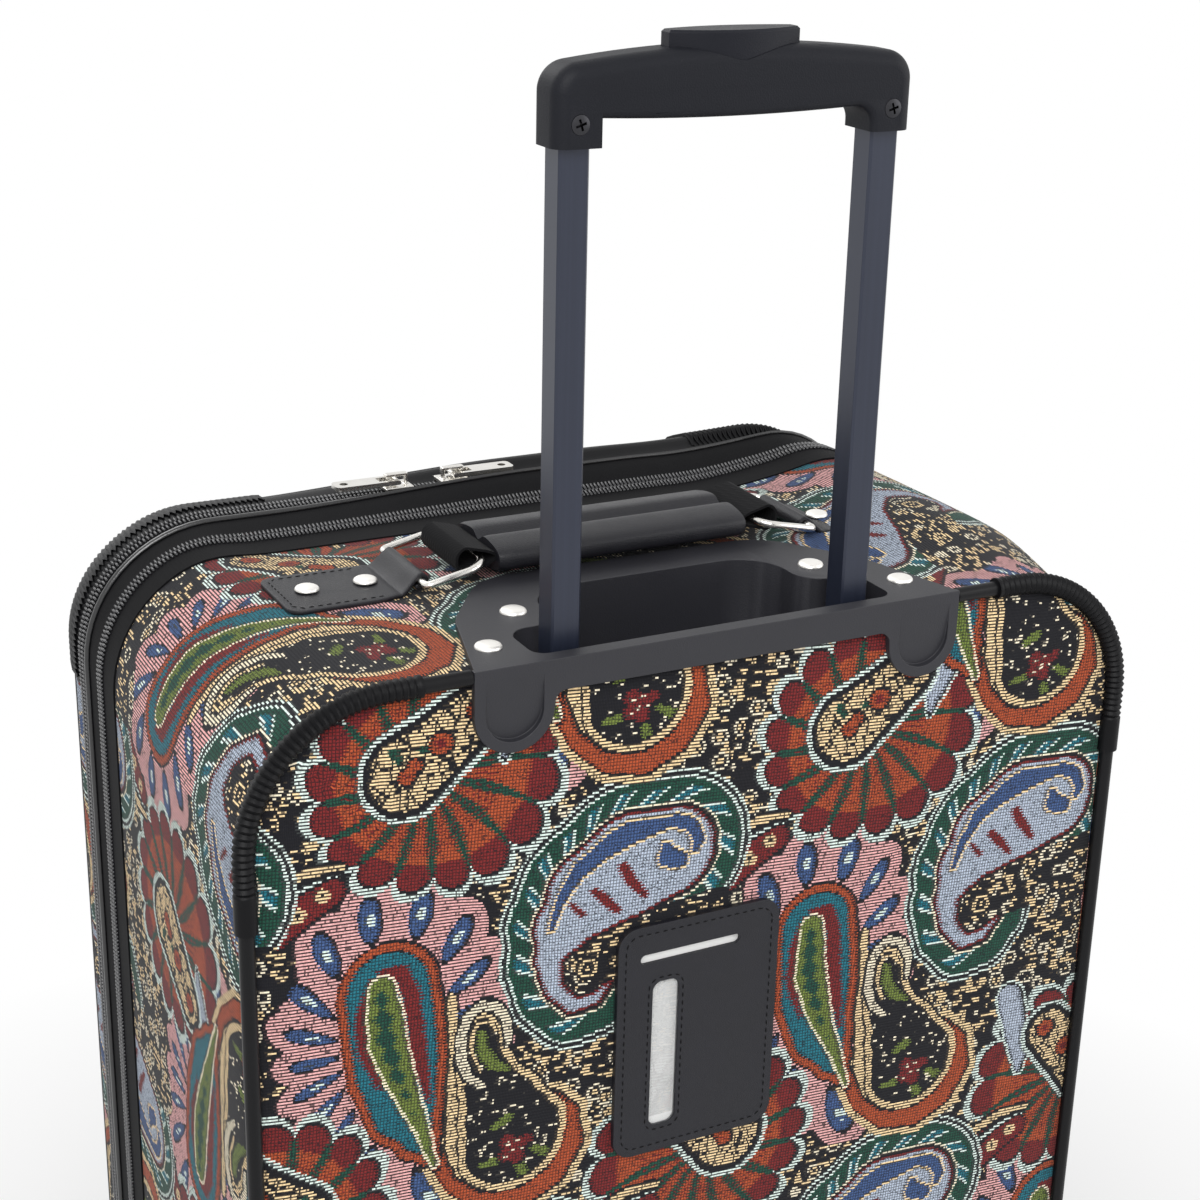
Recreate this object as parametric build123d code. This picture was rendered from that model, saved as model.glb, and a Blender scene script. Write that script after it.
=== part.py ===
from build123d import *
import math
import os

# Soft-sided spinner suitcase. Millimetres, +Z up, floor at z = 0, back panel towards -Y.

# Overall case
CASE_WIDTH = 394.0
CASE_HEIGHT = 590.0
CASE_LIFT = 64.0
CORNER_RADIUS = 57.0
WALL = 4.0
TUB_DEPTH = 216.0
LID_DEPTH = 32.0
SPLIT_GAP = 0.6
OVERRUN = 5.0
RUNNING_GAP = 0.3
PIN_GAP = 0.05

# Piping and the ribbed moulded corners
PIPING_RADIUS = 3.1
SLEEVE_SKIN = 3.2
SLEEVE_RIB = 4.6
SLEEVE_COVER = 6.0
SLEEVE_TOP_LEG = 12.0
SLEEVE_SIDE_LEG = 28.0
GUARD_COVER = 20.0
GUARD_LEG = 10.0
RIB_WIDTH = 2.2
RIB_COUNT = 13

# Zip bands round the case
TAPE_THICKNESS = 0.9
COIL_HEIGHT = 2.2
COIL_HALF = 3.8
EXPANDER_START = 168.0
EXPANDER_WIDTH = 37.0
EXPANDER_COIL_WIDTH = 8.0
WELT_WIDTH = 3.2
WELT_HEIGHT = 3.4
MAIN_TAPE_WIDTH = 6.9

# Front pocket on the lid
POCKET_DEPTH = 10.0
POCKET_WIDTH = 318.0
POCKET_HEIGHT = 400.0
POCKET_RADIUS = 36.0
POCKET_LIFT = 58.0
POCKET_EDGE = 5.0
POCKET_ZIP_DROP = 40.0
POCKET_ZIP_LENGTH = 262.0
POCKET_ZIP_WIDTH = 20.0

# Frame heights and depths
OVERALL_DEPTH = SLEEVE_RIB + TUB_DEPTH + LID_DEPTH + POCKET_DEPTH
BACK_Y = SLEEVE_RIB - OVERALL_DEPTH / 2
SPLIT_Y = BACK_Y + TUB_DEPTH
LID_Y = SPLIT_Y + LID_DEPTH
POCKET_Y = LID_Y + POCKET_DEPTH
CASE_TOP = CASE_LIFT + CASE_HEIGHT
CASE_MID = CASE_LIFT + CASE_HEIGHT / 2
SIDE_X = CASE_WIDTH / 2

# Trolley cup: flange on the top, front flange with two lugs, and the sunk well
FLANGE = 3.0
CUP_TOP = CASE_TOP + FLANGE
CUP_SIDE_ROOM = 20.0
CUP_HALF = SIDE_X - CORNER_RADIUS - SLEEVE_TOP_LEG - CUP_SIDE_ROOM
CUP_SHOULDER_STEP = 15.0
CUP_SHOULDER_HALF = CUP_HALF - CUP_SHOULDER_STEP
CUP_SHOULDER_DEPTH = 50.0
CUP_REAR_STEP = 27.0
CUP_REAR_HALF = CUP_SHOULDER_HALF - CUP_REAR_STEP
CUP_DEPTH = 89.0
CUP_REAR_RADIUS = 30.0
CUP_BAND = 13.0
LUG_WIDTH = 33.0
LUG_DROP = 35.0
LUG_RIM = 4.6
LUG_TILT = 6.0
LUG_CORNER_RADIUS = 5.0
WELL_SIDE_FLANGE = 28.0
WELL_HALF = CUP_HALF - WELL_SIDE_FLANGE
WELL_FRONT = 4.0
WELL_DEPTH_Y = 27.0
FINGER_STEP = 24.0
FINGER_HALF = WELL_HALF - FINGER_STEP
FINGER_DEPTH_Y = 68.0
WELL_RADIUS = 6.0
WELL_SHOULDER_RADIUS = 9.0
FINGER_NECK_RADIUS = 13.0
FINGER_RADIUS = 20.0
WELL_DEPTH = 42.0
WELL_WALL = 2.2
CUP_RIVET_RADIUS = 5.4
RIVET_CROWN_RADIUS = 3.9
RIVET_HEIGHT = 1.8
CUP_RIVET_INNER_STEP = 39.4
CUP_RIVET_INNER_DEPTH = 48.5
CUP_RIVET_OUTER_STEP = 15.0
CUP_RIVET_OUTER_DEPTH = 18.3
CUP_RIVETS = (
    (CUP_HALF - CUP_RIVET_INNER_STEP, CUP_RIVET_INNER_DEPTH),
    (CUP_HALF - CUP_RIVET_OUTER_STEP, CUP_RIVET_OUTER_DEPTH),
)

# Trolley tubes
TUBE = 12.2
TUBE_WALL = 1.1
TUBE_EDGE = 0.9
TUBE_SIDE_ROOM = 15.2
TUBE_X = WELL_HALF - TUBE_SIDE_ROOM
TUBE_INSET = 15.4
TUBE_Y = BACK_Y + TUBE_INSET
TUBE_SLIDE_GAP = 0.35
OUTER_TUBE_WALL = 1.1
TUBE_REACH = 351.0
INNER_TUBE_BOTTOM = CUP_TOP - TUBE_REACH
ANCHOR_HEIGHT = 26.0
ANCHOR_FLOOR = 5.0
ANCHOR_WALL = 4.0
ANCHOR_BRIDGE = 8.0
STOP_HOLE_RADIUS = 3.0
TROLLEY_DOWN = 224.0
TROLLEY_UP = 240.0
STOP_TRAVELS = (-TROLLEY_DOWN, 0, TROLLEY_UP)

# Trolley grip, drawn out to the stop between closed and full length
TROLLEY_RISE = 186.0
LEG_BOTTOM = CUP_TOP + TROLLEY_RISE
LEG_WIDTH = 18.0
LEG_DROP = 10.0
BAR_UNDERSIDE = LEG_BOTTOM + LEG_DROP
BAR_BELLY = 1.6
SEAM_RISE = 19.0
GRIP_SEAM = LEG_BOTTOM + SEAM_RISE
SHOULDER_RISE = 9.0
GRIP_SHOULDER = GRIP_SEAM + SHOULDER_RISE
CREST_RISE = 14.4
GRIP_CREST = GRIP_SEAM + CREST_RISE
GRIP_END_REACH = 9.5
GRIP_HALF = TUBE_X + GRIP_END_REACH
GRIP_DEPTH = 20.6
GRIP_END_RADIUS = 11.0
GRIP_INNER_RADIUS = 7.0
GRIP_TOP_ROUND = 6.0
GRIP_UNDER_ROUND = 2.6
CAVITY_WIDTH = 9.0
CAVITY_END_ROOM = 3.2
CAVITY_HALF = TUBE_X + CAVITY_END_ROOM
CAVITY_RISE = 6.6
CAVITY_TOP = GRIP_SEAM + CAVITY_RISE
CAVITY_DROP = 5.4
CAVITY_FLOOR = GRIP_SEAM - CAVITY_DROP
SOCKET_DEPTH = 12.0
TUBE_TOP = LEG_BOTTOM + SOCKET_DEPTH
SCREW_RISE = 8.4
SCREW_Z = LEG_BOTTOM + SCREW_RISE
SCREW_HEAD_RADIUS = 3.7
SCREW_HEAD_DEPTH = 1.6
SCREW_SHANK_RADIUS = 1.7

# Release button and latch
BUTTON_LENGTH_SHARE = 0.3634
BUTTON_HALF = GRIP_HALF * BUTTON_LENGTH_SHARE
BUTTON_NOSE = 9.9
BUTTON_TAIL = 7.6
BUTTON_END = 3.0
BUTTON_PROUD = 5.2
BUTTON_TOP = GRIP_CREST + BUTTON_PROUD
BUTTON_EDGE = 0.9
BUTTON_GAP = 0.35
BUTTON_TRAVEL = 4.0
BUTTON_SKIRT_GAP = 0.5
YOKE_RISE = 0.8
YOKE_BOTTOM = GRIP_SEAM + YOKE_RISE
YOKE_HEIGHT = 4.6
YOKE_WIDTH = 6.4
ROD_RADIUS = 2.4
ROD_REACH = 12.0
PIN_RADIUS = 2.4
PIN_LENGTH = 6.0
PIN_LIFT = 14.0
SPRING_RADIUS = 2.6
SPRING_HOLE_RADIUS = 1.5

# Carry handle on the top
HANDLE_INSET = 106.0
HANDLE_Y = BACK_Y + HANDLE_INSET
TAB_SIDE_ROOM = 50.0
TAB_END = SIDE_X - TAB_SIDE_ROOM
TAB_WIDTH = 42.0
TAB_THICKNESS = 2.4
TAB_CORNER_RADIUS = 5.0
TAB_FLAT_LENGTH = 47.0
TAB_FLAT_END = TAB_END - TAB_FLAT_LENGTH
TAB_LENGTH = 56.0
ROLL_X = TAB_END - TAB_LENGTH
ROLL_RADIUS = 4.8
ROLL_LIFT = 5.6
TAB_RIVET_INSET = 14.0
TAB_RIVET_PITCH = 25.0
TAB_RIVETS = (TAB_END - TAB_RIVET_INSET, TAB_END - TAB_RIVET_INSET - TAB_RIVET_PITCH)
TAB_RIVET_RADIUS = 5.0
RING_WIRE = 3.4
RING_WIDTH = 52.0
RING_LENGTH = 31.0
RING_BAR_RADIUS = 3.8
RING_BOW_RADIUS = 12.0
RING_TILT = 12.0
WRAP_END_ROOM = 33.0
WRAP_HALF = ROLL_X - WRAP_END_ROOM
WRAP_ROLL_WIDTH = 23.5
WRAP_ROLL_HEIGHT = 13.6
WRAP_OVERLAP = 1.6
WRAP_LIFT = 3.5
WEBBING_WIDTH = 36.0
WEBBING_THICKNESS = 2.4
LOOP_LENGTH = 19.0
LOOP_HEIGHT = 14.0
LOOP_LIFT = 4.6
LOOP_RADIUS = 4.6

# Identity tag on the back panel
TAG_X = -7.4
TAG_DROP = 176.0
TAG_Z = CUP_TOP - TAG_DROP
TAG_WIDTH = 75.0
TAG_HEIGHT = 107.0
TAG_RADIUS = 9.0
TAG_THICKNESS = 2.6
SLOT_WIDTH = 46.0
SLOT_HEIGHT = 4.2
SLOT_SHIFT = -4.1
SLOT_X = TAG_X + SLOT_SHIFT
SLOT_RISE = 38.5
SLOT_Z = TAG_Z + SLOT_RISE
WINDOW_WIDTH = 12.0
WINDOW_HEIGHT = 68.0
WINDOW_RADIUS = 4.0
WINDOW_SHIFT = -15.1
WINDOW_X = TAG_X + WINDOW_SHIFT
WINDOW_DROP = 7.0
WINDOW_Z = TAG_Z - WINDOW_DROP
PANE_THICKNESS = 1.0
CARD_WIDTH = 51.0
CARD_HEIGHT = 88.0
CARD_THICKNESS = 0.6
CARD_OVER_SLOT = 3.0
CARD_TOP = SLOT_Z + CARD_OVER_SLOT

# Lining over the trolley tubes
LINING_INSET = 40.0
LINING_Y = BACK_Y + LINING_INSET
LINING_THICKNESS = 1.6
LINING_DROP = 62.0

# Zip sliders and pulls
SLIDER_LENGTH = 14.0
SLIDER_PLATE = 2.0
SLIDER_SIDE = 1.2
BAIL_SPAN = 11.0
BAIL_WIDTH = 3.2
BAIL_BAR = 1.6
BAIL_RISE = 5.4
PULL_EYE_RADIUS = 1.0
PULL_EYE_HALF = 4.8
PULL_ARM = 2.0
PULL_TONGUE_START = 9.0
PULL_LENGTH = 30.0
PULL_THICKNESS = 2.0
PULL_RADIUS = 2.4
PULL_HOLE_RADIUS = 1.9
MAIN_SLIDER_X = (-50.0, -22.0)
EXPANDER_SLIDER_Z = 250.0
POCKET_SLIDER_ROOM = 35.0
POCKET_SLIDER_X = POCKET_SLIDER_ROOM - POCKET_ZIP_LENGTH / 2

# Spinner casters
CASTER_INSET = 45.0
CASTER_X = SIDE_X - CASTER_INSET
CASTER_REAR = 42.0
CASTER_FRONT = 136.0
HOUSING_DROP = 11.0
HOUSING_BOTTOM = CASE_LIFT - HOUSING_DROP
HOUSING_WIDTH = 60.0
HOUSING_LENGTH = 78.0
HOUSING_INSET = 7.0
HOUSING_OUTER = SIDE_X - HOUSING_INSET
HOUSING_INNER = HOUSING_OUTER - HOUSING_LENGTH
HOUSING_RISE = 34.0
HOUSING_CHAMFER = 12.0
HOUSING_RADIUS = 14.0
STEM_RADIUS = 6.0
STEM_LENGTH = 9.0
FORK_PLATE_RADIUS = 20.0
FORK_PLATE = 3.4
FORK_LEG = 3.6
FORK_EAR_RADIUS = 7.5
FORK_SHOULDER = 26.0
CASTER_TRAIL = 13.0
WHEEL_RADIUS = 24.0
WHEEL_WIDTH = 19.0
WHEEL_DISH = 3.0
WHEEL_HUB_RADIUS = 7.0
WHEEL_RIM_RADIUS = 18.0
WHEEL_SIDE_GAP = 0.6
AXLE_RADIUS = 3.0


# A round form standing on its base
ON_BASE = (Align.CENTER, Align.CENTER, Align.MIN)


def block(x_span, y_span, z_span):
    """A box given by its two limits along each axis."""
    spans = (x_span, y_span, z_span)
    middle = tuple((low + high) / 2 for low, high in spans)
    sizes = tuple(high - low for low, high in spans)
    return Pos(*middle) * Box(*sizes)


def slab_x(sketch, low, high):
    """A (y, z) sketch extruded from x = low to x = high."""
    return extrude(Plane(origin=(low, 0, 0), x_dir=(0, 1, 0), z_dir=(1, 0, 0)) * sketch, high - low)


def slab_y(sketch, low, high):
    """An (x, z) sketch extruded from y = low to y = high."""
    return extrude(Plane(origin=(0, high, 0), x_dir=(1, 0, 0), z_dir=(0, -1, 0)) * sketch, high - low)


def slab_z(sketch, low, high):
    """An (x, y) sketch extruded from z = low to z = high."""
    return extrude(Plane.XY.offset(low) * sketch, high - low)


def mirrored(shape):
    """The same shape on the other side of the case's middle."""
    return mirror(shape, about=Plane.YZ)


def case_outline(grow=0):
    """The case's rounded outline seen from behind, grown outwards by a distance."""
    sketch = RectangleRounded(CASE_WIDTH + 2 * grow, CASE_HEIGHT + 2 * grow, CORNER_RADIUS + grow)
    return Pos(0, CASE_MID) * sketch


def case_ring(height, low, high):
    """A band of one height round the outside of the case."""
    return slab_y(case_outline(height) - case_outline(), low, high)


def hinge_side_cut():
    """The straight run of the hinge side, where the main zip leaves off."""
    run = CASE_HEIGHT / 2 - CORNER_RADIUS
    return block(
        (SIDE_X - WALL, SIDE_X + COIL_HEIGHT + OVERRUN),
        (BACK_Y, LID_Y),
        (CASE_MID - run, CASE_MID + run),
    )


# Body of the case

def well_outline(grow=0):
    """The well's opening seen from above, grown outwards by a distance."""
    front = BACK_Y + WELL_FRONT - grow
    shoulder = BACK_Y + WELL_FRONT + WELL_DEPTH_Y + grow
    rear = BACK_Y + FINGER_DEPTH_Y + grow
    half = WELL_HALF + grow
    finger = FINGER_HALF + grow
    points = [
        (-half, front),
        (half, front),
        (half, shoulder),
        (finger, shoulder),
        (finger, rear),
        (-finger, rear),
        (-finger, shoulder),
        (-half, shoulder),
    ]
    corner = WELL_RADIUS + grow
    outer = WELL_SHOULDER_RADIUS + grow
    neck = FINGER_NECK_RADIUS - grow
    back = FINGER_RADIUS + grow
    radii = [corner, corner, outer, neck, back, back, neck, outer]
    return make_face(FilletPolyline(*points, radius=radii, close=True))


def piping_runs(edge_y, reach, legs):
    """Straight runs of piping along one edge of the case, as (start, end) points."""
    top_leg, side_leg = legs
    run_x = SIDE_X - CORNER_RADIUS - top_leg
    low_z = CASE_LIFT + CORNER_RADIUS + side_leg
    high_z = CASE_TOP - CORNER_RADIUS - side_leg
    runs = [((-SIDE_X, edge_y, low_z), (-SIDE_X, edge_y, high_z))]
    runs.append(((SIDE_X, edge_y, low_z), (SIDE_X, edge_y, high_z)))
    runs.append(((-run_x, edge_y, CASE_LIFT), (run_x, edge_y, CASE_LIFT)))
    if reach > 0:
        runs.append(((-run_x, edge_y, CASE_TOP), (-reach, edge_y, CASE_TOP)))
        runs.append(((reach, edge_y, CASE_TOP), (run_x, edge_y, CASE_TOP)))
    else:
        runs.append(((-run_x, edge_y, CASE_TOP), (run_x, edge_y, CASE_TOP)))
    return runs


def piping(runs, radius):
    """Round cords along the given straight runs."""
    cords = []
    for start, end in runs:
        line = Vector(*end) - Vector(*start)
        circle = Plane(origin=start, z_dir=line) * Circle(radius)
        cords.append(extrude(circle, line.length))
    return Part(children=cords)


def back_piping_runs():
    return piping_runs(BACK_Y, CUP_HALF + RUNNING_GAP, (SLEEVE_TOP_LEG, SLEEVE_SIDE_LEG))


def lid_piping_runs():
    return piping_runs(LID_Y, 0, (GUARD_LEG, GUARD_LEG))


def ribbed_corner(edge_y, outward, cover, legs):
    """A moulded corner over one upper edge: a smooth skin with cross ribs on the bend."""
    top_leg, side_leg = legs
    centre = Vector(SIDE_X - CORNER_RADIUS, CASE_TOP - CORNER_RADIUS)
    skin_span = sorted((edge_y + outward * SLEEVE_SKIN, edge_y - outward * cover))
    rib_span = sorted((edge_y + outward * SLEEVE_RIB, edge_y - outward * cover))
    inner = CORNER_RADIUS - SLEEVE_COVER
    skin_radius = CORNER_RADIUS + SLEEVE_SKIN
    bend = Circle(skin_radius) - Circle(inner)
    quarter = Rectangle(skin_radius, skin_radius, align=(Align.MIN, Align.MIN))
    band = skin_radius - inner
    top_run = Pos(-top_leg / 2, (skin_radius + inner) / 2) * Rectangle(top_leg, band)
    side_run = Pos((skin_radius + inner) / 2, -side_leg / 2) * Rectangle(band, side_leg)
    skin = slab_y(Pos(centre.X, centre.Y) * ((bend & quarter) + top_run + side_run), *skin_span)
    rib_length = CORNER_RADIUS + SLEEVE_RIB - inner
    step = 90 / RIB_COUNT
    ribs = []
    for index in range(RIB_COUNT):
        rib = Pos(inner + rib_length / 2, 0) * Rectangle(rib_length, RIB_WIDTH)
        turned = Pos(centre.X, centre.Y) * Rot(0, 0, (index + 0.5) * step) * rib
        ribs.append(slab_y(turned, *rib_span))
    return skin + ribs - slab_y(case_outline(), BACK_Y, LID_Y)


def four_corners(upper_right):
    """One upper corner piece repeated at all four corners."""
    flip = Plane(origin=(0, 0, CASE_MID), z_dir=(0, 0, 1))
    lower_right = mirror(upper_right, about=flip)
    return Part(children=[upper_right, lower_right, mirrored(upper_right), mirrored(lower_right)])


def case_tub():
    """Board-stiffened back shell, open to the front."""
    shell = slab_y(case_outline(), BACK_Y, SPLIT_Y - SPLIT_GAP / 2)
    shell -= slab_y(case_outline(-WALL), BACK_Y + WALL, SPLIT_Y)
    shell -= slab_z(well_outline(WELL_WALL), CUP_TOP - WELL_DEPTH - WELL_WALL, CUP_TOP + OVERRUN)
    for cord in piping(back_piping_runs(), PIPING_RADIUS).children:
        shell -= cord
    return shell


def back_piping():
    return piping(back_piping_runs(), PIPING_RADIUS)


def back_corner_sleeves():
    return four_corners(ribbed_corner(BACK_Y, -1, SLEEVE_COVER, (SLEEVE_TOP_LEG, SLEEVE_SIDE_LEG)))


def lining_panel():
    """Stiff lining that hides the trolley tubes from the packing space."""
    half = SIDE_X - WALL - RUNNING_GAP
    run = CASE_HEIGHT - 2 * WALL
    sheet = Pos(0, CASE_MID) * RectangleRounded(2 * half, run, CORNER_RADIUS - WALL)
    keep = Pos(0, CASE_MID - LINING_DROP) * Rectangle(CASE_WIDTH, CASE_HEIGHT)
    return slab_y(sheet & keep, LINING_Y, LINING_Y + LINING_THICKNESS)


def expander_zip():
    start = BACK_Y + EXPANDER_START
    middle = start + EXPANDER_WIDTH / 2
    tape = case_ring(TAPE_THICKNESS, start, start + EXPANDER_WIDTH)
    half = EXPANDER_COIL_WIDTH / 2
    return tape + case_ring(COIL_HEIGHT, middle - half, middle + half)


def body_welt():
    start = BACK_Y + EXPANDER_START + EXPANDER_WIDTH
    return case_ring(WELT_HEIGHT, start, start + WELT_WIDTH)


def main_zip_rear():
    end = SPLIT_Y - SPLIT_GAP / 2
    tape = case_ring(TAPE_THICKNESS, end - MAIN_TAPE_WIDTH, end)
    return tape + case_ring(COIL_HEIGHT, end - COIL_HALF, end) - hinge_side_cut()


def main_zip_front():
    start = SPLIT_Y + SPLIT_GAP / 2
    tape = case_ring(TAPE_THICKNESS, start, start + MAIN_TAPE_WIDTH)
    return tape + case_ring(COIL_HEIGHT, start, start + COIL_HALF) - hinge_side_cut()


def lid_hinge_tape():
    """Cloth tape along the hinge side, where the lid stays joined to the body."""
    run = CASE_HEIGHT / 2 - CORNER_RADIUS
    end = SPLIT_Y - SPLIT_GAP / 2
    return block(
        (SIDE_X, SIDE_X + TAPE_THICKNESS),
        (end - MAIN_TAPE_WIDTH, end),
        (CASE_MID - run, CASE_MID + run),
    )


# Lid

def lid_shell():
    """Shallow front tray whose rim meets the body at the main zip."""
    shell = slab_y(case_outline(), SPLIT_Y + SPLIT_GAP / 2, LID_Y)
    shell -= slab_y(case_outline(-WALL), SPLIT_Y, LID_Y - WALL)
    for cord in piping(lid_piping_runs(), PIPING_RADIUS).children:
        shell -= cord
    return shell


def lid_piping():
    return piping(lid_piping_runs(), PIPING_RADIUS)


def lid_corner_guards():
    return four_corners(ribbed_corner(LID_Y, 1, GUARD_COVER, (GUARD_LEG, GUARD_LEG)))


def pocket_zip_z():
    return CASE_LIFT + POCKET_LIFT + POCKET_HEIGHT - POCKET_ZIP_DROP


def front_pocket():
    """Padded pocket panel sewn to the lid, with bevelled edges and a seat for its zip."""
    middle = CASE_LIFT + POCKET_LIFT + POCKET_HEIGHT / 2
    outline = Pos(0, middle) * RectangleRounded(POCKET_WIDTH, POCKET_HEIGHT, POCKET_RADIUS)
    pad = slab_y(outline, LID_Y, POCKET_Y)
    pad = chamfer(pad.faces().sort_by(Axis.Y)[-1].edges(), POCKET_EDGE)
    half = POCKET_ZIP_LENGTH / 2
    middle = pocket_zip_z()
    seat = block(
        (-half, half),
        (POCKET_Y - TAPE_THICKNESS - COIL_HEIGHT, POCKET_Y + OVERRUN),
        (middle - POCKET_ZIP_WIDTH / 2, middle + POCKET_ZIP_WIDTH / 2),
    )
    return pad - seat


def pocket_zip():
    half = POCKET_ZIP_LENGTH / 2
    middle = pocket_zip_z()
    base = POCKET_Y - TAPE_THICKNESS - COIL_HEIGHT
    half_tape = POCKET_ZIP_WIDTH / 2
    tape = block((-half, half), (base, base + TAPE_THICKNESS), (middle - half_tape, middle + half_tape))
    coil = block((-half, half), (base, base + COIL_HEIGHT), (middle - COIL_HALF, middle + COIL_HALF))
    return tape + coil


# Trolley cup

def cup_flange_outline():
    points = [
        (-CUP_HALF, BACK_Y - FLANGE),
        (CUP_HALF, BACK_Y - FLANGE),
        (CUP_SHOULDER_HALF, BACK_Y + CUP_SHOULDER_DEPTH),
        (CUP_REAR_HALF, BACK_Y + CUP_DEPTH),
        (-CUP_REAR_HALF, BACK_Y + CUP_DEPTH),
        (-CUP_SHOULDER_HALF, BACK_Y + CUP_SHOULDER_DEPTH),
    ]
    radii = [0, 0, CUP_REAR_RADIUS, CUP_REAR_RADIUS, CUP_REAR_RADIUS, CUP_REAR_RADIUS]
    return make_face(FilletPolyline(*points, radius=radii, close=True))


def lug_outline(rim=0):
    """One lug with a round lower end, drawn in by a rim."""
    top = CUP_TOP - rim
    half = LUG_WIDTH / 2 - rim
    middle = CUP_HALF - LUG_WIDTH / 2
    round_centre = CUP_TOP - LUG_DROP + LUG_WIDTH / 2
    straight = top - round_centre
    tongue = Pos(middle, round_centre + straight / 2) * Rectangle(2 * half, straight)
    return tongue + Pos(middle, round_centre) * Circle(half)


def front_flange():
    """The band over the back panel's upper edge, with a relieved lug at each end."""
    top = CUP_TOP
    band = Pos(0, top - CUP_BAND / 2) * Rectangle(2 * CUP_HALF, CUP_BAND)
    face = band + lug_outline() + mirrored(lug_outline())
    corners = [v for v in face.vertices() if abs(v.Y - (top - CUP_BAND)) < RUNNING_GAP]
    inner_corners = [v for v in corners if abs(v.X) < CUP_HALF - RUNNING_GAP]
    face = fillet(inner_corners, LUG_CORNER_RADIUS)
    plate = slab_y(face, BACK_Y - FLANGE, BACK_Y)
    scoop = slab_y(lug_outline(LUG_RIM), -FLANGE - OVERRUN, 0)
    hinge_z = top - LUG_RIM
    tilted = Pos(0, 0, -hinge_z) * scoop
    tilted = Pos(0, BACK_Y - FLANGE, hinge_z) * Rot(LUG_TILT, 0, 0) * tilted
    return plate - tilted - mirrored(tilted)


def trolley_cup():
    """Moulded cup that the trolley grip drops into."""
    top = CUP_TOP
    flange = slab_z(cup_flange_outline(), CASE_TOP, top)
    well = slab_z(well_outline(WELL_WALL), top - WELL_DEPTH - WELL_WALL, top)
    cup = flange + well + front_flange()
    cup -= slab_z(well_outline(), top - WELL_DEPTH, top + OVERRUN)
    hole = TUBE + 2 * TUBE_SLIDE_GAP
    for side in (-1, 1):
        cup -= Pos(side * TUBE_X, TUBE_Y, top - WELL_DEPTH) * Box(hole, hole, 2 * WELL_WALL + OVERRUN)
    return cup


def rivet_cap(radius):
    return Cone(radius, RIVET_CROWN_RADIUS, RIVET_HEIGHT, align=ON_BASE)


def rivets():
    """Domed caps on the cup flange and on the handle tabs."""
    caps = []
    for side in (-1, 1):
        for x, y in CUP_RIVETS:
            caps.append(Pos(side * x, BACK_Y + y, CUP_TOP) * rivet_cap(CUP_RIVET_RADIUS))
        for x in TAB_RIVETS:
            caps.append(Pos(side * x, HANDLE_Y, CASE_TOP + TAB_THICKNESS) * rivet_cap(TAB_RIVET_RADIUS))
    return Part(children=caps)


# Trolley

def square_tube(size, wall, low, high, edge):
    """A square tube standing at the origin, with its long outer edges broken."""
    outer = chamfer(Rectangle(size, size).vertices(), edge)
    return slab_z(outer - Rectangle(size - 2 * wall, size - 2 * wall), low, high)


def outer_tube_size():
    return TUBE + 2 * TUBE_SLIDE_GAP + 2 * OUTER_TUBE_WALL


def pin_height():
    return INNER_TUBE_BOTTOM + PIN_LIFT


def outer_tubes():
    """Fixed tubes inside the case, with a latch hole at each stop of the trolley."""
    low = CASE_LIFT + WALL + ANCHOR_FLOOR
    high = CUP_TOP - WELL_DEPTH - WELL_WALL
    tubes = []
    for side in (-1, 1):
        tube = square_tube(outer_tube_size(), OUTER_TUBE_WALL, low, high, TUBE_EDGE)
        for travel in STOP_TRAVELS:
            hole = Rot(0, 90, 0) * Cylinder(STOP_HOLE_RADIUS, TUBE)
            tube -= Pos(side * TUBE, 0, pin_height() + travel) * hole
        tubes.append(Pos(side * TUBE_X, TUBE_Y, 0) * tube)
    return Part(children=tubes)


def tube_anchor():
    """Moulded foot that holds the lower ends of both outer tubes."""
    low = CASE_LIFT + WALL
    size = outer_tube_size()
    front = TUBE_Y - size / 2 - ANCHOR_WALL / 2
    rear = TUBE_Y + size / 2 + ANCHOR_WALL
    reach = TUBE_X + size / 2 + ANCHOR_WALL
    foot = block((-reach, reach), (front, rear), (low, low + ANCHOR_BRIDGE))
    for side in (-1, 1):
        inner = side * (TUBE_X - size / 2 - ANCHOR_WALL)
        span = sorted((inner, side * reach))
        foot += block(span, (front, rear), (low, low + ANCHOR_HEIGHT))
    for side in (-1, 1):
        seat = chamfer(Rectangle(size, size).vertices(), TUBE_EDGE)
        hole = slab_z(seat, low + ANCHOR_FLOOR, low + ANCHOR_HEIGHT + OVERRUN)
        foot -= Pos(side * TUBE_X, TUBE_Y, 0) * hole
    return foot


def inner_tubes():
    """Sliding tubes, each with a bore near its foot for the latch pin."""
    tubes = []
    for side in (-1, 1):
        tube = square_tube(TUBE, TUBE_WALL, INNER_TUBE_BOTTOM, TUBE_TOP, TUBE_EDGE)
        bore = Rot(0, 90, 0) * Cylinder(PIN_RADIUS + PIN_GAP, TUBE)
        tube -= Pos(side * TUBE / 2, 0, pin_height()) * bore
        tubes.append(Pos(side * TUBE_X, TUBE_Y, 0) * tube)
    return Part(children=tubes)


def lock_pin(side):
    """Latch pin drawn back flush with the tube's outer face."""
    end = side * (TUBE_X + TUBE / 2 - TUBE_SLIDE_GAP)
    pin = Rot(0, 90, 0) * Cylinder(PIN_RADIUS, PIN_LENGTH)
    return Pos(end - side * PIN_LENGTH / 2, TUBE_Y, pin_height()) * pin


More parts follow.
